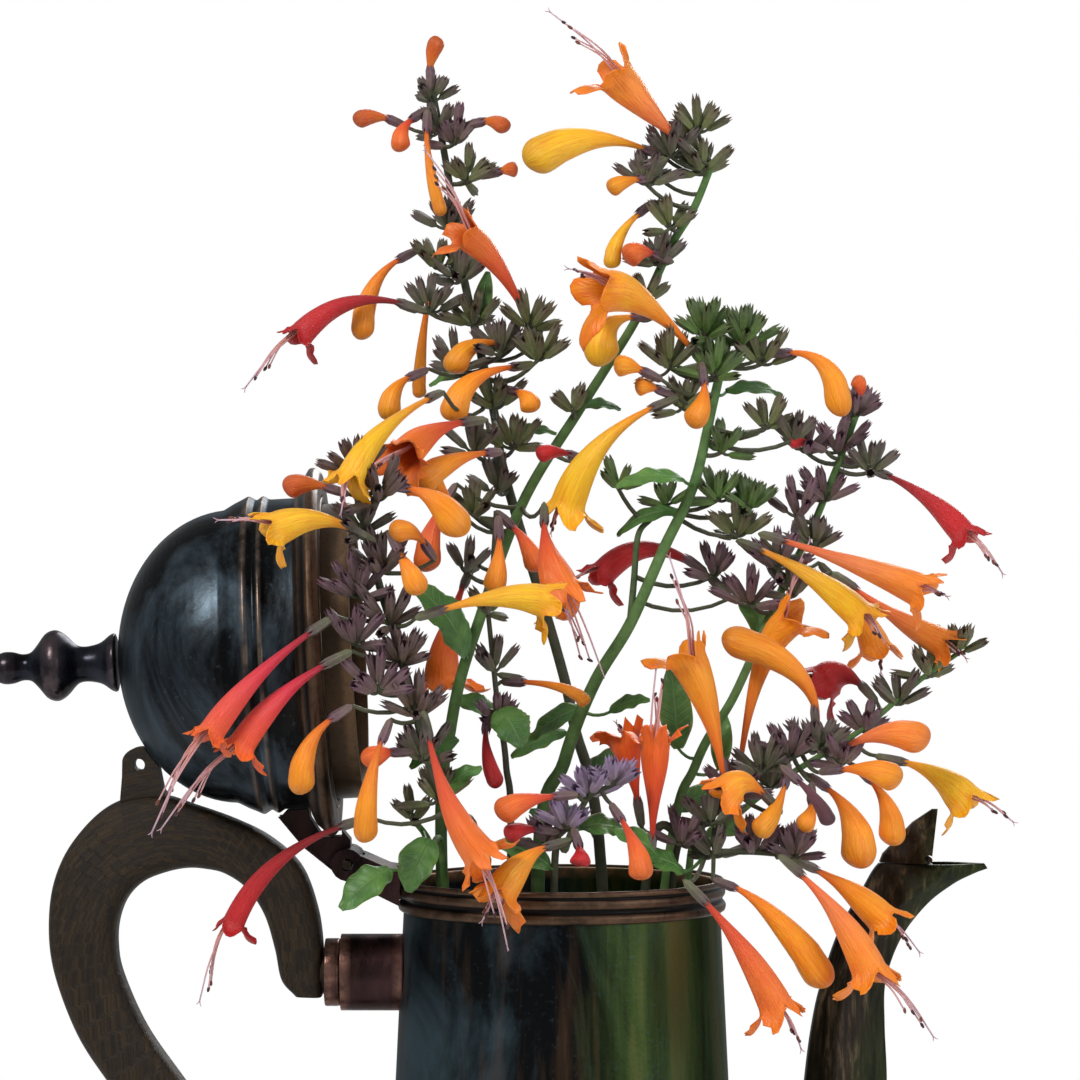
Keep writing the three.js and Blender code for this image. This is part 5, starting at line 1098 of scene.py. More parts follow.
def patina(name, deep, cloud, moss, worn, moss_share=0.0, roughness=0.42, streak=1.0, cloud_share=1.0):
    """Old metal: a near-black skin with paler clouds, moss green to one side, vertical runs and bright
    worn edges."""
    look = Look(name, metallic=0.78)
    where = look.place()
    clouds = look.noise(look.stretch(where, (1, 1, 0.55)), 42, detail=7, rough=0.62, warp=0.7)
    runs = look.noise(look.stretch(where, (1, 1, 0.05)), 160, detail=5, rough=0.6, warp=0.3)
    specks = look.noise(where, 700, detail=3, rough=0.6)
    base = look.blend(look.rise(clouds, 0.42, 0.66, 0, cloud_share), linear(*deep), linear(*cloud))
    if moss_share:
        side = look.rise(look.sum(look.part("X"), look.sum(look.sum(clouds, 0.5, "SUBTRACT"), 0.07,
            "MULTIPLY")),
                         -0.004, 0.012, 0, moss_share)
        base = look.blend(side, base, look.ramp(runs, [(0.28, tuple(0.35 * part for part in moss)), (0.62,
            moss)]))
    base = look.blend(look.rise(runs, 0.50, 0.72, 0, 0.55 * streak), base, linear(*worn))
    base = look.blend(look.rise(specks, 0.60, 0.75, 0, 0.35), base, linear(*cloud))
    edge = look.rise(look.kept("tint", "Fac"), 0.56, 0.80)
    edge = look.sum(edge, look.rise(look.noise(where, 220, detail=4), 0.38, 0.60, 0.25, 1.0), "MULTIPLY")
    base = look.blend(edge, base, linear(*(min(1, 1.5 * part) for part in worn)))
    rough = look.sum(look.rise(clouds, 0.35, 0.70, roughness - 0.12, roughness + 0.12),
                     look.rise(runs, 0.40, 0.70, -0.04, 0.08))
    height = look.sum(look.sum(clouds, 0.5, "MULTIPLY"), look.sum(specks, 0.25, "MULTIPLY"))
    look.set(Base_Color=base, Roughness=rough, Normal=look.bump(height, 0.35, 0.0006), Specular_Tint=(0.5,
        0.5, 0.5))
    return look.material


def wood_look():
    """Dark oiled wood with its grain drawn out along the handle."""
    look = Look("dark oiled wood")
    flow = look.kept("flow")
    grain = look.noise(look.stretch(flow, (5.5, 3.0, 0.55)), 2.2, detail=8, rough=0.68, warp=0.5)
    fine = look.noise(look.stretch(flow, (34, 20, 1.2)), 2.0, detail=5, rough=0.7)
    pores = look.noise(look.stretch(flow, (60, 40, 5)), 1.6, detail=2)
    base = look.ramp(grain, [(0.30, (0.055, 0.040, 0.025)), (0.48, (0.130, 0.095, 0.055)), (0.60, (0.215,
        0.165, 0.095)),
                             (0.74, (0.115, 0.090, 0.050))])
    base = look.blend(look.rise(fine, 0.50, 0.68, 0, 0.6), base, linear(0.225, 0.18, 0.115))
    base = look.blend(look.rise(pores, 0.60, 0.72, 0, 0.7), base, linear(0.05, 0.035, 0.02))
    height = look.sum(fine, look.sum(pores, 0.6, "MULTIPLY"), "SUBTRACT")
    look.set(Base_Color=base, Roughness=look.rise(grain, 0.35, 0.7, 0.44, 0.60),
             Normal=look.bump(height, 0.45, 0.0004), Specular_IOR_Level=0.28)
    return look.material


def spout_look():
    """Brown brushed metal, its runs along the spout, and mossy green on the lower front."""
    look = Look("brushed brown spout metal", metallic=0.65)
    where = look.place()
    brushed = look.noise(look.stretch(where, (1, 1, 0.12)), 420, detail=6, rough=0.65, warp=0.4)
    clouds = look.noise(look.stretch(where, (1, 1, 0.4)), 60, detail=6, rough=0.6, warp=0.6)
    base = look.ramp(brushed, [(0.32, (0.07, 0.060, 0.05)), (0.52, (0.18, 0.15, 0.12)), (0.70, (0.40, 0.34,
        0.27))])
    green = look.ramp(brushed, [(0.30, (0.09, 0.10, 0.04)), (0.55, (0.20, 0.24, 0.11)), (0.75, (0.34, 0.36,
        0.20))])
    facing = look.sum(look.part("X"), look.sum(look.part("Z"), -0.30, "MULTIPLY"))
    side = look.rise(look.sum(facing, look.sum(clouds, 0.02, "MULTIPLY")), 0.047, 0.060)
    base = look.blend(look.sum(side, 0.75, "MULTIPLY"), base, green)
    base = look.blend(look.rise(clouds, 0.52, 0.72, 0, 0.6), base, linear(0.09, 0.09, 0.08))
    look.set(Base_Color=base, Roughness=look.rise(brushed, 0.3, 0.7, 0.36, 0.56),
             Normal=look.bump(brushed, 0.30, 0.0003), Specular_Tint=(0.6, 0.6, 0.6))
    return look.material


def turned_metal(name, deep, worn, roughness=0.35, metallic=0.85):
    """A moulding's metal: dark in its grooves and worn bright on its ridges, in broken patches."""
    look = Look(name, metallic=metallic)
    where = look.place()
    patches = look.noise(where, 130, detail=6, rough=0.62, warp=0.5)
    fine = look.noise(where, 900, detail=3)
    ridge = look.sum(look.rise(look.kept("tint", "Fac"), 0.38, 0.72), look.rise(patches, 0.35, 0.62, 0.35,
        1.15), "MULTIPLY")
    base = look.blend(ridge, linear(*deep), linear(*worn))
    base = look.blend(look.rise(fine, 0.55, 0.72, 0, 0.4), base, linear(*(0.6 * part for part in deep)))
    look.set(Base_Color=base, Roughness=look.rise(patches, 0.35, 0.7, roughness, roughness + 0.2),
             Normal=look.bump(look.sum(patches, look.sum(fine, 0.3, "MULTIPLY")), 0.3, 0.0004))
    return look.material


def petal_look(name):
    """Petal: the corolla's own colours, finer darker lines along it, a soft sheen and light that soaks in."""
    look = Look(name)
    flow, colour = look.kept("flow"), look.kept("tint", "Color")
    lines = look.noise(look.stretch(flow, (9, 9, 0.9)), 1.5, detail=5, rough=0.6, warp=0.3)
    blotches = look.noise(look.stretch(flow, (1.6, 1.6, 1.4)), 1.3, detail=4, rough=0.6)
    wrinkles = look.noise(look.stretch(flow, (5, 5, 3.0)), 1.4, detail=4, rough=0.55, warp=0.8)
    deeper = look.blend(1.0, colour, linear(0.93, 0.66, 0.42), "MULTIPLY")
    base = look.blend(look.rise(lines, 0.44, 0.66, 0, 0.60), colour, deeper)
    base = look.blend(look.rise(blotches, 0.50, 0.72, 0, 0.55), base, deeper)
    height = look.sum(wrinkles, look.sum(lines, 0.5, "MULTIPLY"))
    look.set(Base_Color=base, Roughness=look.rise(blotches, 0.35, 0.7, 0.36, 0.52), Subsurface_Weight=0.12,
             Subsurface_Radius=(1.0, 0.35, 0.1), Subsurface_Scale=0.002,
             Normal=look.bump(height, 0.55, 0.0007), Sheen_Weight=0.08)
    return look.material


def green_look(name, tones, grain=(3, 3, 2.0), roughness=0.6, scale=1.0, lift=0.5):
    """A stem's or calyx's skin: its own tone, mottled, with fine ribs along it."""
    look = Look(name)
    flow = look.kept("flow")
    where = look.place()
    mottle = look.noise(where, 260 * scale, detail=4, rough=0.6)
    ribs = look.noise(look.stretch(flow, grain), 2.4, detail=3)
    tone = look.ramp(mottle, [(0.35, tones[0]), (0.52, tones[1]), (0.70, tones[2])])
    base = look.blend(lift, look.kept("tint", "Color"), tone)
    look.set(Base_Color=base, Roughness=roughness, Normal=look.bump(look.sum(mottle, ribs), 0.5, 0.0004),
             Subsurface_Weight=0.05, Subsurface_Scale=0.001)
    return look.material


def leaf_look():
    """A leaf: mid green, paler along the midrib and the side veins."""
    look = Look("leaf green")
    flow = look.kept("flow")
    across = look.node("SeparateXYZ", {"Vector": flow}, result="X")
    along = look.node("SeparateXYZ", {"Vector": flow}, result="Z")
    far = look.sum(across, 0.0, "ABSOLUTE")
    rib = look.rise(far, 0.0, 0.10, 1.0, 0.0)
    lines = look.sum(look.sum(along, look.sum(far, -0.28, "MULTIPLY")), 34.0, "MULTIPLY")
    veins = look.rise(look.sum(lines, 0.0, "SINE"), 0.80, 1.0, 0.0, 0.6)
    mottle = look.noise(look.place(), 170, detail=5, rough=0.6)
    base = look.ramp(mottle, [(0.32, (0.17, 0.30, 0.16)), (0.50, (0.29, 0.46, 0.22)), (0.70, (0.42, 0.58,
        0.28))])
    base = look.blend(look.sum(look.sum(rib, veins, "MAXIMUM"), 0.55, "MULTIPLY"), base, linear(0.50, 0.62,
        0.36))
    base = look.blend(0.35, base, look.kept("tint", "Color"))
    height = look.sum(look.sum(mottle, 0.5, "MULTIPLY"), look.sum(rib, veins, "MAXIMUM"), "SUBTRACT")
    look.set(Base_Color=base, Roughness=0.48, Normal=look.bump(height, 0.5, 0.0005), Subsurface_Weight=0.1,
             Subsurface_Scale=0.001)
    return look.material


LOOKS = {}


def look_for(key):
    """The material of a name, made once."""
    pot = bpy.context.scene.agastache_pot
    makers = {
        "pot_patina": lambda: patina("pot patina", pot.deep, pot.cloud, pot.moss, pot.worn, 0.85),
        "lid_patina": lambda: patina("lid patina", pot.deep, (0.31, 0.36, 0.40), pot.moss, (0.27, 0.235,
            0.21), 0, 0.38, 0.3),
        "finial_patina": lambda: patina("finial patina", (0.09, 0.08, 0.095), (0.22, 0.23, 0.27), pot.moss,
                                        (0.20, 0.175, 0.18), 0, 0.27, 0.2),
        "socket": lambda: patina("socket patina", (0.11, 0.08, 0.08), (0.28, 0.20, 0.20), pot.moss, (0.34,
            0.25, 0.22),
                                 0, 0.30, 0.4),
        "copper": lambda: turned_metal("worn copper moulding", (0.10, 0.09, 0.085), (0.37, 0.285, 0.225)),
        "bezel": lambda: turned_metal("bare bronze bezel", (0.17, 0.135, 0.10), (0.42, 0.33, 0.24), 0.42,
            0.6),
        "pin": lambda: turned_metal("worn pins", (0.20, 0.16, 0.13), (0.55, 0.42, 0.32), 0.30),
        "wood": wood_look,
        "spout": spout_look,
        "petal": lambda: petal_look("petal"),
        "stem_green": lambda: green_look("green stem", [(0.19, 0.31, 0.14), (0.31, 0.44, 0.22), (0.42, 0.53,
            0.33)]),
        "stem_dark": lambda: green_look("dark stem", [(0.16, 0.19, 0.12), (0.26, 0.28, 0.19), (0.33, 0.30,
            0.26)]),
        "calyx": lambda: green_look("calyx", [(0.20, 0.18, 0.15), (0.34, 0.32, 0.26), (0.47, 0.44, 0.38)],
            (5, 5, 1), 0.55,
                                    3.0, 0.25),
        "leaf": leaf_look,
    }
    if key not in LOOKS:
        LOOKS[key] = makers[key]()
    return LOOKS[key]


# ------------------------------------------------------------------ settings


def length(name, description, default):
    """A length a user may change, in metres."""
    return bpy.props.FloatProperty(name=name, description=description, default=default, min=0, unit="LENGTH",
                                   subtype="DISTANCE")


def colour(name, description, default):
    """An everyday colour a user may change."""
    return bpy.props.FloatVectorProperty(name=name, description=description, default=default, size=3, min=0,
        max=1,
                                         subtype="COLOR_GAMMA")


class AgastachePot(bpy.types.PropertyGroup):
    foot_radius: length("Foot radius", "The pot wall's outer radius at its base", float(POT_HIGH[0] * MM))
    mouth_radius: length("Mouth radius", "The pot wall's outer radius at its mouth", 0.0392)
    wall: length("Wall", "Thickness of the sheet metal", 0.0015)
    deep: colour("Deep patina", "The metal's darkest tone", (0.085, 0.090, 0.095))
    cloud: colour("Cloudy patina", "The blue-grey bloom on the metal", (0.24, 0.30, 0.33))
    moss: colour("Moss", "The green on the spout's side of the pot", (0.26, 0.33, 0.16))
    worn: colour("Worn copper", "Bare metal along edges and runs", (0.36, 0.27, 0.20))


class AgastachePlant(bpy.types.PropertyGroup):
    stalk_radius: length("Stalk radius", "Radius of the stalks that hold the calyces", 0.00042)
    calyx_length: length("Calyx length", "Length of a calyx under an open flower", 0.0085)


class AgastacheStage(bpy.types.PropertyGroup):
    floor_radius: length("Floor radius", "Radius of the pale floor", 0.55)
    power: bpy.props.FloatProperty(name="Key light", description="Power of the main light", default=9.0,
        min=0,
                                   unit="POWER")


# ------------------------------------------------------------------ operators


class PieceOperator:
    bl_options = {"REGISTER", "UNDO"}

    def execute(self, context):
        self.make(context)
        return {"FINISHED"}


class AGASTACHE_OT_pot(PieceOperator, bpy.types.Operator):
    """The pot's body with its strainer holes, its rim moulding and its foot ring"""

    bl_idname = "agastache.pot"
    bl_label = "Pot Body, Rim and Foot"

    def make(self, context):
        wall, floor, height = context.scene.agastache_pot.wall / MM, 2.5, POT_HIGH[2]
        skin = Skin()
        add_turned(skin, [[0, 0], [pot_radius(0), 0], [pot_radius(height), height],
            [pot_radius(height) - wall, height],
                          [pot_radius(floor) - wall, floor], [0, floor]], soft=0.7)
        body = facing_out(skin.make("body_wall", look_for("pot_patina")))
        holes = Skin()
        places = [(0, 38)] + [(8 * math.cos(k * math.pi / 3),
            38 + 8 * math.sin(k * math.pi / 3)) for k in range(6)]
        for y, z in places:
            add_turned(holes, [[0, -6], [2.3, -6], [2.3, 6], [0, 6]], (pot_radius(z), y, z), (1, 0, 0), 24,
                0.01)
        carve(body, facing_out(holes.make("holes", look_for("pot_patina"))))
        settle(smooth_shade(body), "pot_patina", "pot_body")

        inner, r, low = pot_radius(RIM_LOW[2]) + GAP, RIM_HIGH[0], RIM_LOW[2]
        rim = Skin()
        add_turned(rim, [[inner, low], [r - 0.2, low + 0.5], [r, low + 1.9], [r - 0.9, low + 2.9], [r - 0.9,
            low + 3.5],
                         [r - 0.2, low + 4.4], [r - 0.2, low + 5.6], [r - 0.8, low + 6.4], [r - 0.3,
                             low + 7.2],
                         [r - 0.6, RIM_HIGH[2]], [inner, RIM_HIGH[2]]], soft=0.5)
        settle(facing_out(rim.make("rolled_rim", look_for("copper"), 50)), "worn_copper", "rim_moulding")

        inner, r = POT_HIGH[0] + GAP, FOOT_HIGH[0]
        foot = Skin()
        add_turned(foot, [[inner, 0], [r, 0], [r, 3], [r - 1.6, 4.2], [r - 1.2, 6.2], [r - 2.8, 7.6],
                          [r - 4.2, FOOT_HIGH[2]], [inner, FOOT_HIGH[2]]], soft=0.8)
        settle(facing_out(foot.make("turned_foot", look_for("copper"), 50)), "worn_copper", "foot_ring")


class AGASTACHE_OT_handle(PieceOperator, bpy.types.Operator):
    """The wooden handle with its thumb rest, the two metal sockets and their cross pins"""

    bl_idname = "agastache.handle"
    bl_label = "Handle and Sockets"

    def make(self, context):
        outer_x, outer_z, inner_x, inner_z = spline(HANDLE_LINE, 260).T
        flat = np.zeros(260)
        outer, inner = np.stack([outer_x, flat, outer_z], -1), np.stack([inner_x, flat, inner_z], -1)
        middle, half = (outer + inner) / 2, (outer - inner) / 2
        angle = np.linspace(0, 2 * np.pi, 44, endpoint=False)
        fold = (np.abs(np.cos(angle)) ** 4.5 + np.abs(np.sin(angle)) ** 4.5) ** (-1 / 4.5)
        depth = np.array([0, 6.5, 0])
        rings = middle[:, None] + half[:, None] * (np.cos(angle) * fold)[None, :, None]
        rings = rings + depth * (np.sin(angle) * fold)[None, :, None]
        skin = Skin()
        add_loft(skin, rings)
        handle = facing_out(skin.make("handle_grip", look_for("wood")))
        a = np.linspace(0.94, 0.06, 15) * np.pi  # an even outline, so its end caps close
        crown = np.stack([-105.2 + 4.4 * np.cos(a), 184.4 + 3.9 * np.sin(a)], -1)
        outline = np.vstack([[[-110.5, 170], [-109.6, 181]], crown, [[-100.6, 183], [-99.6, 178], [-96,
            170]]])
        spur = Skin()
        add_slab(spur, outline, 8)
        carve(handle, facing_out(spur.make("spur", look_for("wood"))), "UNION")
        for z in SOCKET_HEIGHTS.values():
            tenon = Skin()
            add_turned(tenon, [[0, -8.5], [5.4, -8.5], [5.4, 8.5], [0, 8.5]], (-54.5, 0, z), (1, 0, 0), 48)
            carve(handle, facing_out(tenon.make("tenon", look_for("wood"))), "UNION")
        eye = Skin()
        add_turned(eye, [[0, -9], [1.5, -9], [1.5, 9], [0, 9]], (-105.4, 0, 184), (0, 1, 0), 32)
        for z in SOCKET_HEIGHTS.values():
            add_turned(eye, [[0, -15], [1.55, -15], [1.55, 15], [0, 15]], (-51.5, 0, z), (0, 1, 0), 24)
        carve(handle, facing_out(eye.make("eye", look_for("wood"))))
        carve(handle, lid_space("lean"))
        points = np.zeros(len(handle.data.vertices) * 3, np.float32)
        handle.data.vertices.foreach_get("co", points)
        points = points.reshape(-1, 3) / MM
        place = np.argmin(np.linalg.norm(points[:, None, ::2] - middle[None, ::4, ::2], axis=2), 1) * 4
        share = np.sum((points - middle[place]) * unit(half[place]), 1)
        flow = np.stack([share / 10, points[:, 1] / 10, place / 260 * 30 / 1.2], -1)
        handle.data.attributes["flow"].data.foreach_set("vector", flow.astype(np.float32).ravel())
        settle(smooth_shade(handle, 38), "handle_wood", "handle")
        for name, z in SOCKET_HEIGHTS.items():
            start = -pot_radius(z) + 0.9
            length, r = start - SOCKET_LEFT, 7.75
            socket = Skin()
            add_turned(socket, [[r + 1.8, length - 16], [r, length - 14.8], [r, 4.4], [r + 0.7, 3.6],
                                [r + 0.7, 0], [5.8, 0], [5.8, length - 5], [0.6, length - 5], [0.6, length],
                                [r + 1.8, length]], (SOCKET_LEFT, 0, z), (1, 0, 0), 96)
            piece = facing_out(socket.make(name + "_ferrule", look_for("socket"), 40))
            settle(piece, "pot_patina", name + "_handle_socket")
            refined(name + "_handle_pin", name + "_cross_pin", look_for("pin"), "worn_copper", "pot", 0.15)


def lid_space(name):
    """The space that the open lid takes up, with the gap round it."""
    r = LID["radius"] + GAP
    skin = Skin()
    add_turned(skin, np.vstack([[[0, -8], [r, -8], [r, -GAP], [46.4, -GAP], [46.4, 4.4], [41.4, 7.3], [r,
        7.6], [r, 13],
                                 [r + 1.6, 14.6], [r + 1.6, 20.4], [r + 0.4, 22.6]], bowl_arc(-GAP, 0.05,
                                     np.pi / 2, 14),
                                [[0, LID["apex"] + GAP]]]), LID["mouth"], LID["axis"], 160, 0.1)
    return facing_out(skin.make(name, bpy.data.materials[0]))


class AGASTACHE_OT_lid(PieceOperator, bpy.types.Operator):
    """The open domed lid: dome, flange, inner bezel, finial and hinge strap"""

    bl_idname = "agastache.lid"
    bl_label = "Lid"

    def make(self, context):
        r, wall, foot = LID["radius"], LID["wall"], LID["apex"] + GAP
        top, under = bowl_arc(0, 0.05, np.pi / 2 - 0.01), bowl_arc(wall, np.pi / 2 - 0.01, 0)
        side = [[r - wall, 13], [r - wall, 0], [r, 0], [r, 13.5], [r + 1, 15], [r - 0.1, 16.6], [r + 1.1,
            18.6],
                [r + 0.2, 20.4], [r - 0.6, 22.2]]
        self.turn("crown_dome", np.vstack([[[0, LID["apex"] - wall]], under, side, top, [[0,
            LID["apex"]]]]), "lid_patina",
                  "lid_patina", "lid_dome", 0.45)
        inner = r + GAP
        self.turn("lid_collar", [[inner, 0.2], [44.6, 0.2], [46, 1.4], [46, 3], [44.4, 4], [43.2, 5.4], [41,
            6.4],
                                 [inner, 6.8]], "copper", "worn_copper", "lid_flange", 0.5)
        outer = r - wall - GAP
        self.turn("lid_sleeve", [[outer - 1.4, -6.8], [outer, -6.8], [outer, 8], [outer - 1.4, 8]], "bezel",
                  "bezel_bronze", "lid_bezel", 0.4)
        self.turn("turned_finial", [[0, foot], [7.4, foot], [7.2, foot + 1.4], [5, foot + 4], [4.3,
            foot + 7.6],
                                    [4.6, foot + 10], [7.6, foot + 12.6], [9.1, foot + 15], [8.4,
                                        foot + 17.6],
                                    [5.4, foot + 19.8], [3.4, foot + 21.6], [3.2, foot + 23.8], [4,
                                        foot + 26],
                                    [4.1, foot + 28.6], [2.8, foot + 31.2], [0, foot + 32.2]],
                                        "finial_patina",
                  "lid_patina", "lid_finial", 1.6)
        refined("lid_strap", "hinge_strap", look_for("socket"), "pot_patina", "lid", 0.4)

    def turn(self, name, profile, look, slot, node, soft):
        skin = Skin()
        add_turned(skin, profile, LID["mouth"], LID["axis"], 192, soft)
        settle(facing_out(skin.make(name, look_for(look), 50)), slot, node, body="lid")


class AGASTACHE_OT_spout(PieceOperator, bpy.types.Operator):
    """The six-sided spout with its channel, and the small flap over its mouth"""

    bl_idname = "agastache.spout"
    bl_label = "Spout and Flap"

    def make(self, context):
        skin, hollow = Skin(), Skin()
        add_loft(skin, spout_rings(0))
        add_loft(hollow, spout_rings(1.4))
        look = look_for("spout")
        spout = facing_out(skin.make("faceted_spout", look))
        channel = facing_out(hollow.make("channel", look))
        carve(channel, box_tool("roof", (32.4, -30, 157.8), (92.4, 30, 217.8)))
        carve(spout, box_tool("above", (60, -30, 159.2), (120, 30, 219.2)))
        carve(spout, channel)
        carve(spout, pot_cone("wall"))
        settle(smooth_shade(spout, 24), "spout_patina", "spout")
        refined("spout_flap", "hinged_flap", look, "spout_patina", "spout_flap", 0.35)


class AGASTACHE_OT_fittings(PieceOperator, bpy.types.Operator):
    """The lid's hinge bracket and the two hinge pins"""

    bl_idname = "agastache.fittings"
    bl_label = "Hinge Fittings"

    def make(self, context):
        refined("lid_hinge_bracket", "cast_bracket", look_for("socket"), "pot_patina", "pot", 0.5)
        refined("lid_hinge_pin", "long_hinge_pin", look_for("pin"), "worn_copper", "pot", 0.2)
        refined("flap_hinge_pin", "short_hinge_pin", look_for("pin"), "worn_copper", "pot", 0.12)


def node_of(stem):
    """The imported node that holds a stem's solid: the small side stem grew from its neighbour."""
    return "stem_4" if stem == "stem_5" else stem


class AGASTACHE_OT_stems(PieceOperator, bpy.types.Operator):
    """The squarish tapering stems, from the pot's floor to their tips"""

    bl_idname = "agastache.stems"
    bl_label = "Stems"

    def make(self, context):
        skins = {}
        for stem, (_, tone, _) in STEMS.items():
            line, radii = stem_line(stem)
            tint = linear(*((0.30, 0.43, 0.20) if tone == "green" else (0.25, 0.26, 0.18)))
            skin = skins.setdefault(node_of(stem), (Skin(), tone))[0]
            add_tube(skin, line, radii, tint, columns=16, square=2.8)
        for node, (skin, tone) in skins.items():
            slot = "green_stem" if tone == "green" else "dark_stem"
            settle(skin.make(node + "_stalk", look_for("stem_" + tone)), slot, node)


class AGASTACHE_OT_calyces(PieceOperator, bpy.types.Operator):
    """The whorls of toothed calyces on their short stalks, and the calyx behind each flower"""

    bl_idname = "agastache.calyces"
    bl_label = "Calyces"

    def make(self, context):
        rng = np.random.default_rng(11)
        skins = {}
        for stem, centre, reach, count, size, tone in WHORLS:
            skin = skins.setdefault(node_of(stem), Skin())
            centre, line = sprig_point(centre), stem_line(stem)[0]
            root = nearest(line, centre)
            turn = rng.uniform(0, 2 * np.pi)
            behind_is_lid = centre[0] < -33 and 165 < centre[2] < 265
            for k in range(count):
                height = 1 - 2 * (k + 0.5) / count
                angle = turn + k * GOLDEN_ANGLE
                flat = math.sqrt(1 - height**2)
                way = np.array([math.cos(angle) * flat, math.sin(angle) * flat * 0.8, 0.8 * height + 0.62])
                way = unit(way + rng.uniform(-0.2, 0.2, 3))
                if behind_is_lid:
                    way[1] = -abs(way[1]) - 0.15
                foot = centre + way * reach * rng.uniform(0.05, 0.42)
                add_stalk(skin, centre, foot, linear(0.28, 0.30, 0.22), 0.4)
                heading = unit(way + np.array([0, 0, 0.35]))
                add_calyx(skin, foot, heading, size * rng.uniform(0.8, 1.1), tone, rng,
                    wide=rng.uniform(0.85, 1.1))
            if np.linalg.norm(root - centre) > 1.5:
                add_stalk(skin, root, centre, linear(0.26, 0.28, 0.20), 0.55)
        size = context.scene.agastache_plant.calyx_length / MM
        for flower in FLOWERS:
            _, stem, _, _, base, bend, mouth, reach = flower
            skin = skins.setdefault(node_of(stem), Skin())
            base, bend, mouth = (sprig_point(p) for p in (base, bend, mouth))
            _, tangents = arch(base, bend, mouth, 3)
            heading = tangents[0]
            long = size if reach is not None else size * BUD_CALYX
            foot = base - heading * long * 0.72
            root = nearest(stem_line(stem)[0], foot)
            add_stalk(skin, root, foot, linear(0.28, 0.30, 0.20), 0.5)
            add_calyx(skin, foot, heading, long, "plum" if reach is None else "slate", rng, wide=1.0)
        for node, skin in skins.items():
            settle(skin.make(node + "_calyces", look_for("calyx"), 40), "dark_stem", node)


FLOWER_SLOTS = {"orange": "orange_corolla", "amber": "orange_corolla", "bronze": "orange_corolla",
                "yellow": "yellow_corolla", "peach": "orange_corolla", "salmon": "salmon_corolla",
                "scarlet": "salmon_corolla", "crimson": "crimson_corolla", "magenta": "crimson_corolla",
                "plum": "crimson_corolla"}


class AGASTACHE_OT_flowers(PieceOperator, bpy.types.Operator):
    """The corollas: open ones with lips and stamens, and the closed buds"""

    bl_idname = "agastache.flowers"
    bl_label = "Flowers and Buds"

    def make(self, context):
        skins = {}
        for index, flower in enumerate(FLOWERS):
            name, stem, colour = flower[:3]
            node = name or node_of(stem)
            key = (name + "_corolla") if name else node + "_blooms"
            slot = FLOWER_SLOTS[colour] if name else "orange_corolla"
            skin = skins.setdefault(key, (Skin(), slot, node))[0]
            (add_bud if flower[-1] is None else add_corolla)(skin, flower, 100 + index)
        for key, (skin, slot, node) in skins.items():
            settle(skin.make(key, look_for("petal")), slot, node)


class AGASTACHE_OT_leaves(PieceOperator, bpy.types.Operator):
    """The lance-shaped leaves"""

    bl_idname = "agastache.leaves"
    bl_label = "Leaves"

    def make(self, context):
        skins = {}
        for index, leaf in enumerate(LEAVES):
            name, stem = leaf[:2]
            node = name or node_of(stem)
            key = (name + "_blade") if name else node + "_leaves"
            skin = skins.setdefault(key, (Skin(), node))[0]
            add_leaf(skin, leaf, 500 + index)
            base = sprig_point(leaf[3])
            add_stalk(skin, nearest(stem_line(stem)[0], base), base, linear(0.30, 0.42, 0.22), 0.4)
        for key, (skin, node) in skins.items():
            settle(facing_out(skin.make(key, look_for("leaf"))), "leaf", node)


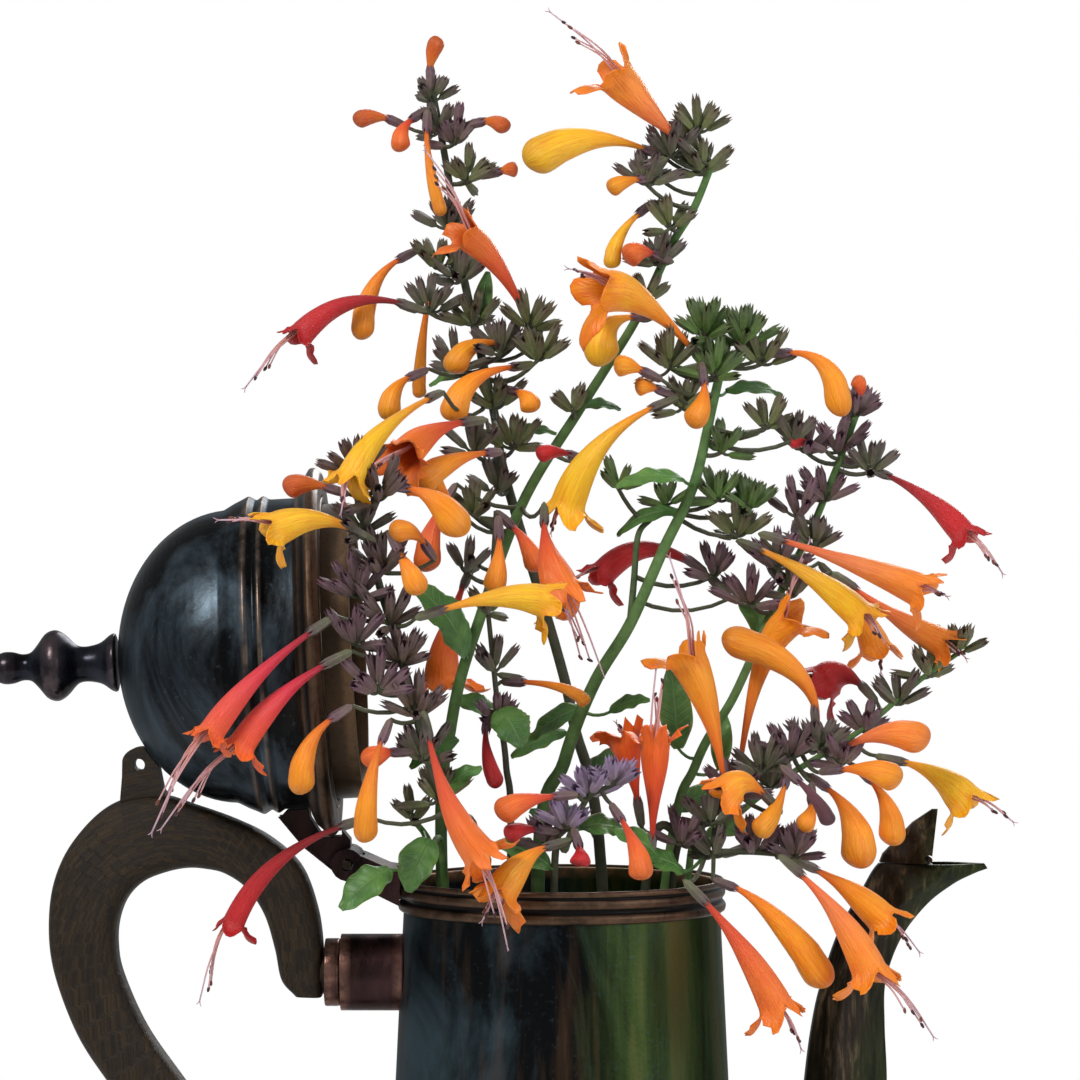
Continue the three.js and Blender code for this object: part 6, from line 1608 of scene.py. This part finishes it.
class AGASTACHE_OT_stage(PieceOperator, bpy.types.Operator):
    """The pale floor, the white surroundings, the lights and the camera"""

    bl_idname = "agastache.stage"
    bl_label = "Stage"

    def make(self, context):
        stage = context.scene.agastache_stage
        skin = Skin()
        add_turned(skin, [[0, -2.2], [stage.floor_radius / MM, -2.2], [stage.floor_radius / MM, -0.2], [0,
            -0.2]])
        pale = Look("pale floor", 0.8)
        pale.set(Base_Color=pale.blend(pale.rise(pale.noise(pale.place(), 30), 0.3, 0.7), linear(0.90, 0.90,
            0.90),
                                       linear(0.94, 0.94, 0.94)))
        facing_out(skin.make("floor", pale.material, 40))
        world = bpy.data.worlds.new("white room")
        context.scene.world = world
        world.use_nodes = True
        tree = world.node_tree
        tree.nodes.clear()
        seen = tree.nodes.new("ShaderNodeBackground")
        light = tree.nodes.new("ShaderNodeBackground")
        seen.inputs[0].default_value = (1, 1, 1, 1)
        light.inputs[0].default_value = (0.93, 0.97, 1.0, 1)
        light.inputs[1].default_value = 0.42
        pick, mix = tree.nodes.new("ShaderNodeLightPath"), tree.nodes.new("ShaderNodeMixShader")
        ending = tree.nodes.new("ShaderNodeOutputWorld")
        tree.links.new(pick.outputs["Is Camera Ray"], mix.inputs[0])
        tree.links.new(light.outputs[0], mix.inputs[1])
        tree.links.new(seen.outputs[0], mix.inputs[2])
        tree.links.new(mix.outputs[0], ending.inputs[0])
        self.lamp(context, "key", (-0.55, -0.75, 0.95), 0.35, stage.power, (1.0, 0.98, 0.95))
        self.lamp(context, "fill", (0.85, -0.55, 0.45), 0.6, stage.power * 0.5, (0.95, 0.98, 1.0))
        self.lamp(context, "back", (0.25, 0.95, 0.75), 0.5, stage.power * 0.8, (1.0, 1.0, 1.0))
        data = bpy.data.cameras.new("front")
        data.sensor_width, data.lens = 36.0, 36.0 * 0.95 / 0.270
        camera = bpy.data.objects.new("front", data)
        camera.location, camera.rotation_euler = EYE * MM, (math.pi / 2, 0, 0)
        context.scene.collection.objects.link(camera)
        context.scene.camera = camera
        context.scene.view_settings.view_transform = "Standard"

    def lamp(self, context, name, place, size, power, tone):
        data = bpy.data.lights.new(name, "AREA")
        data.size, data.energy, data.color = size, power, tone
        lamp = bpy.data.objects.new(name, data)
        lamp.location = place
        aim = Vector((0.0, 0.0, 0.2)) - lamp.location
        lamp.rotation_euler = aim.to_track_quat("-Z", "Y").to_euler()
        context.scene.collection.objects.link(lamp)


STEPS = [AGASTACHE_OT_stage, AGASTACHE_OT_pot, AGASTACHE_OT_handle, AGASTACHE_OT_lid, AGASTACHE_OT_spout,
         AGASTACHE_OT_fittings, AGASTACHE_OT_stems, AGASTACHE_OT_calyces, AGASTACHE_OT_flowers,
             AGASTACHE_OT_leaves]


class AGASTACHE_PT_panel(bpy.types.Panel):
    bl_label = "Agastache"
    bl_idname = "AGASTACHE_PT_panel"
    bl_space_type = "VIEW_3D"
    bl_region_type = "UI"
    bl_category = "Agastache"

    def draw(self, context):
        for group in ("agastache_pot", "agastache_plant", "agastache_stage"):
            settings = getattr(context.scene, group)
            box = self.layout.box()
            for name in settings.__annotations__:
                box.prop(settings, name)
        for step in STEPS:
            self.layout.operator(step.bl_idname)


SETTINGS = {"agastache_pot": AgastachePot, "agastache_plant": AgastachePlant,
    "agastache_stage": AgastacheStage}


def register():
    for kind in [*SETTINGS.values(), *STEPS, AGASTACHE_PT_panel]:
        bpy.utils.register_class(kind)
    for name, kind in SETTINGS.items():
        setattr(bpy.types.Scene, name, bpy.props.PointerProperty(type=kind))


def unregister():
    for name in SETTINGS:
        delattr(bpy.types.Scene, name)
    for kind in reversed([*SETTINGS.values(), *STEPS, AGASTACHE_PT_panel]):
        bpy.utils.unregister_class(kind)


def main():
    register()
    for step in STEPS:
        group, name = step.bl_idname.split(".")
        getattr(getattr(bpy.ops, group), name)()
    bpy.context.view_layer.update()


if __name__ == "__main__":
    main()
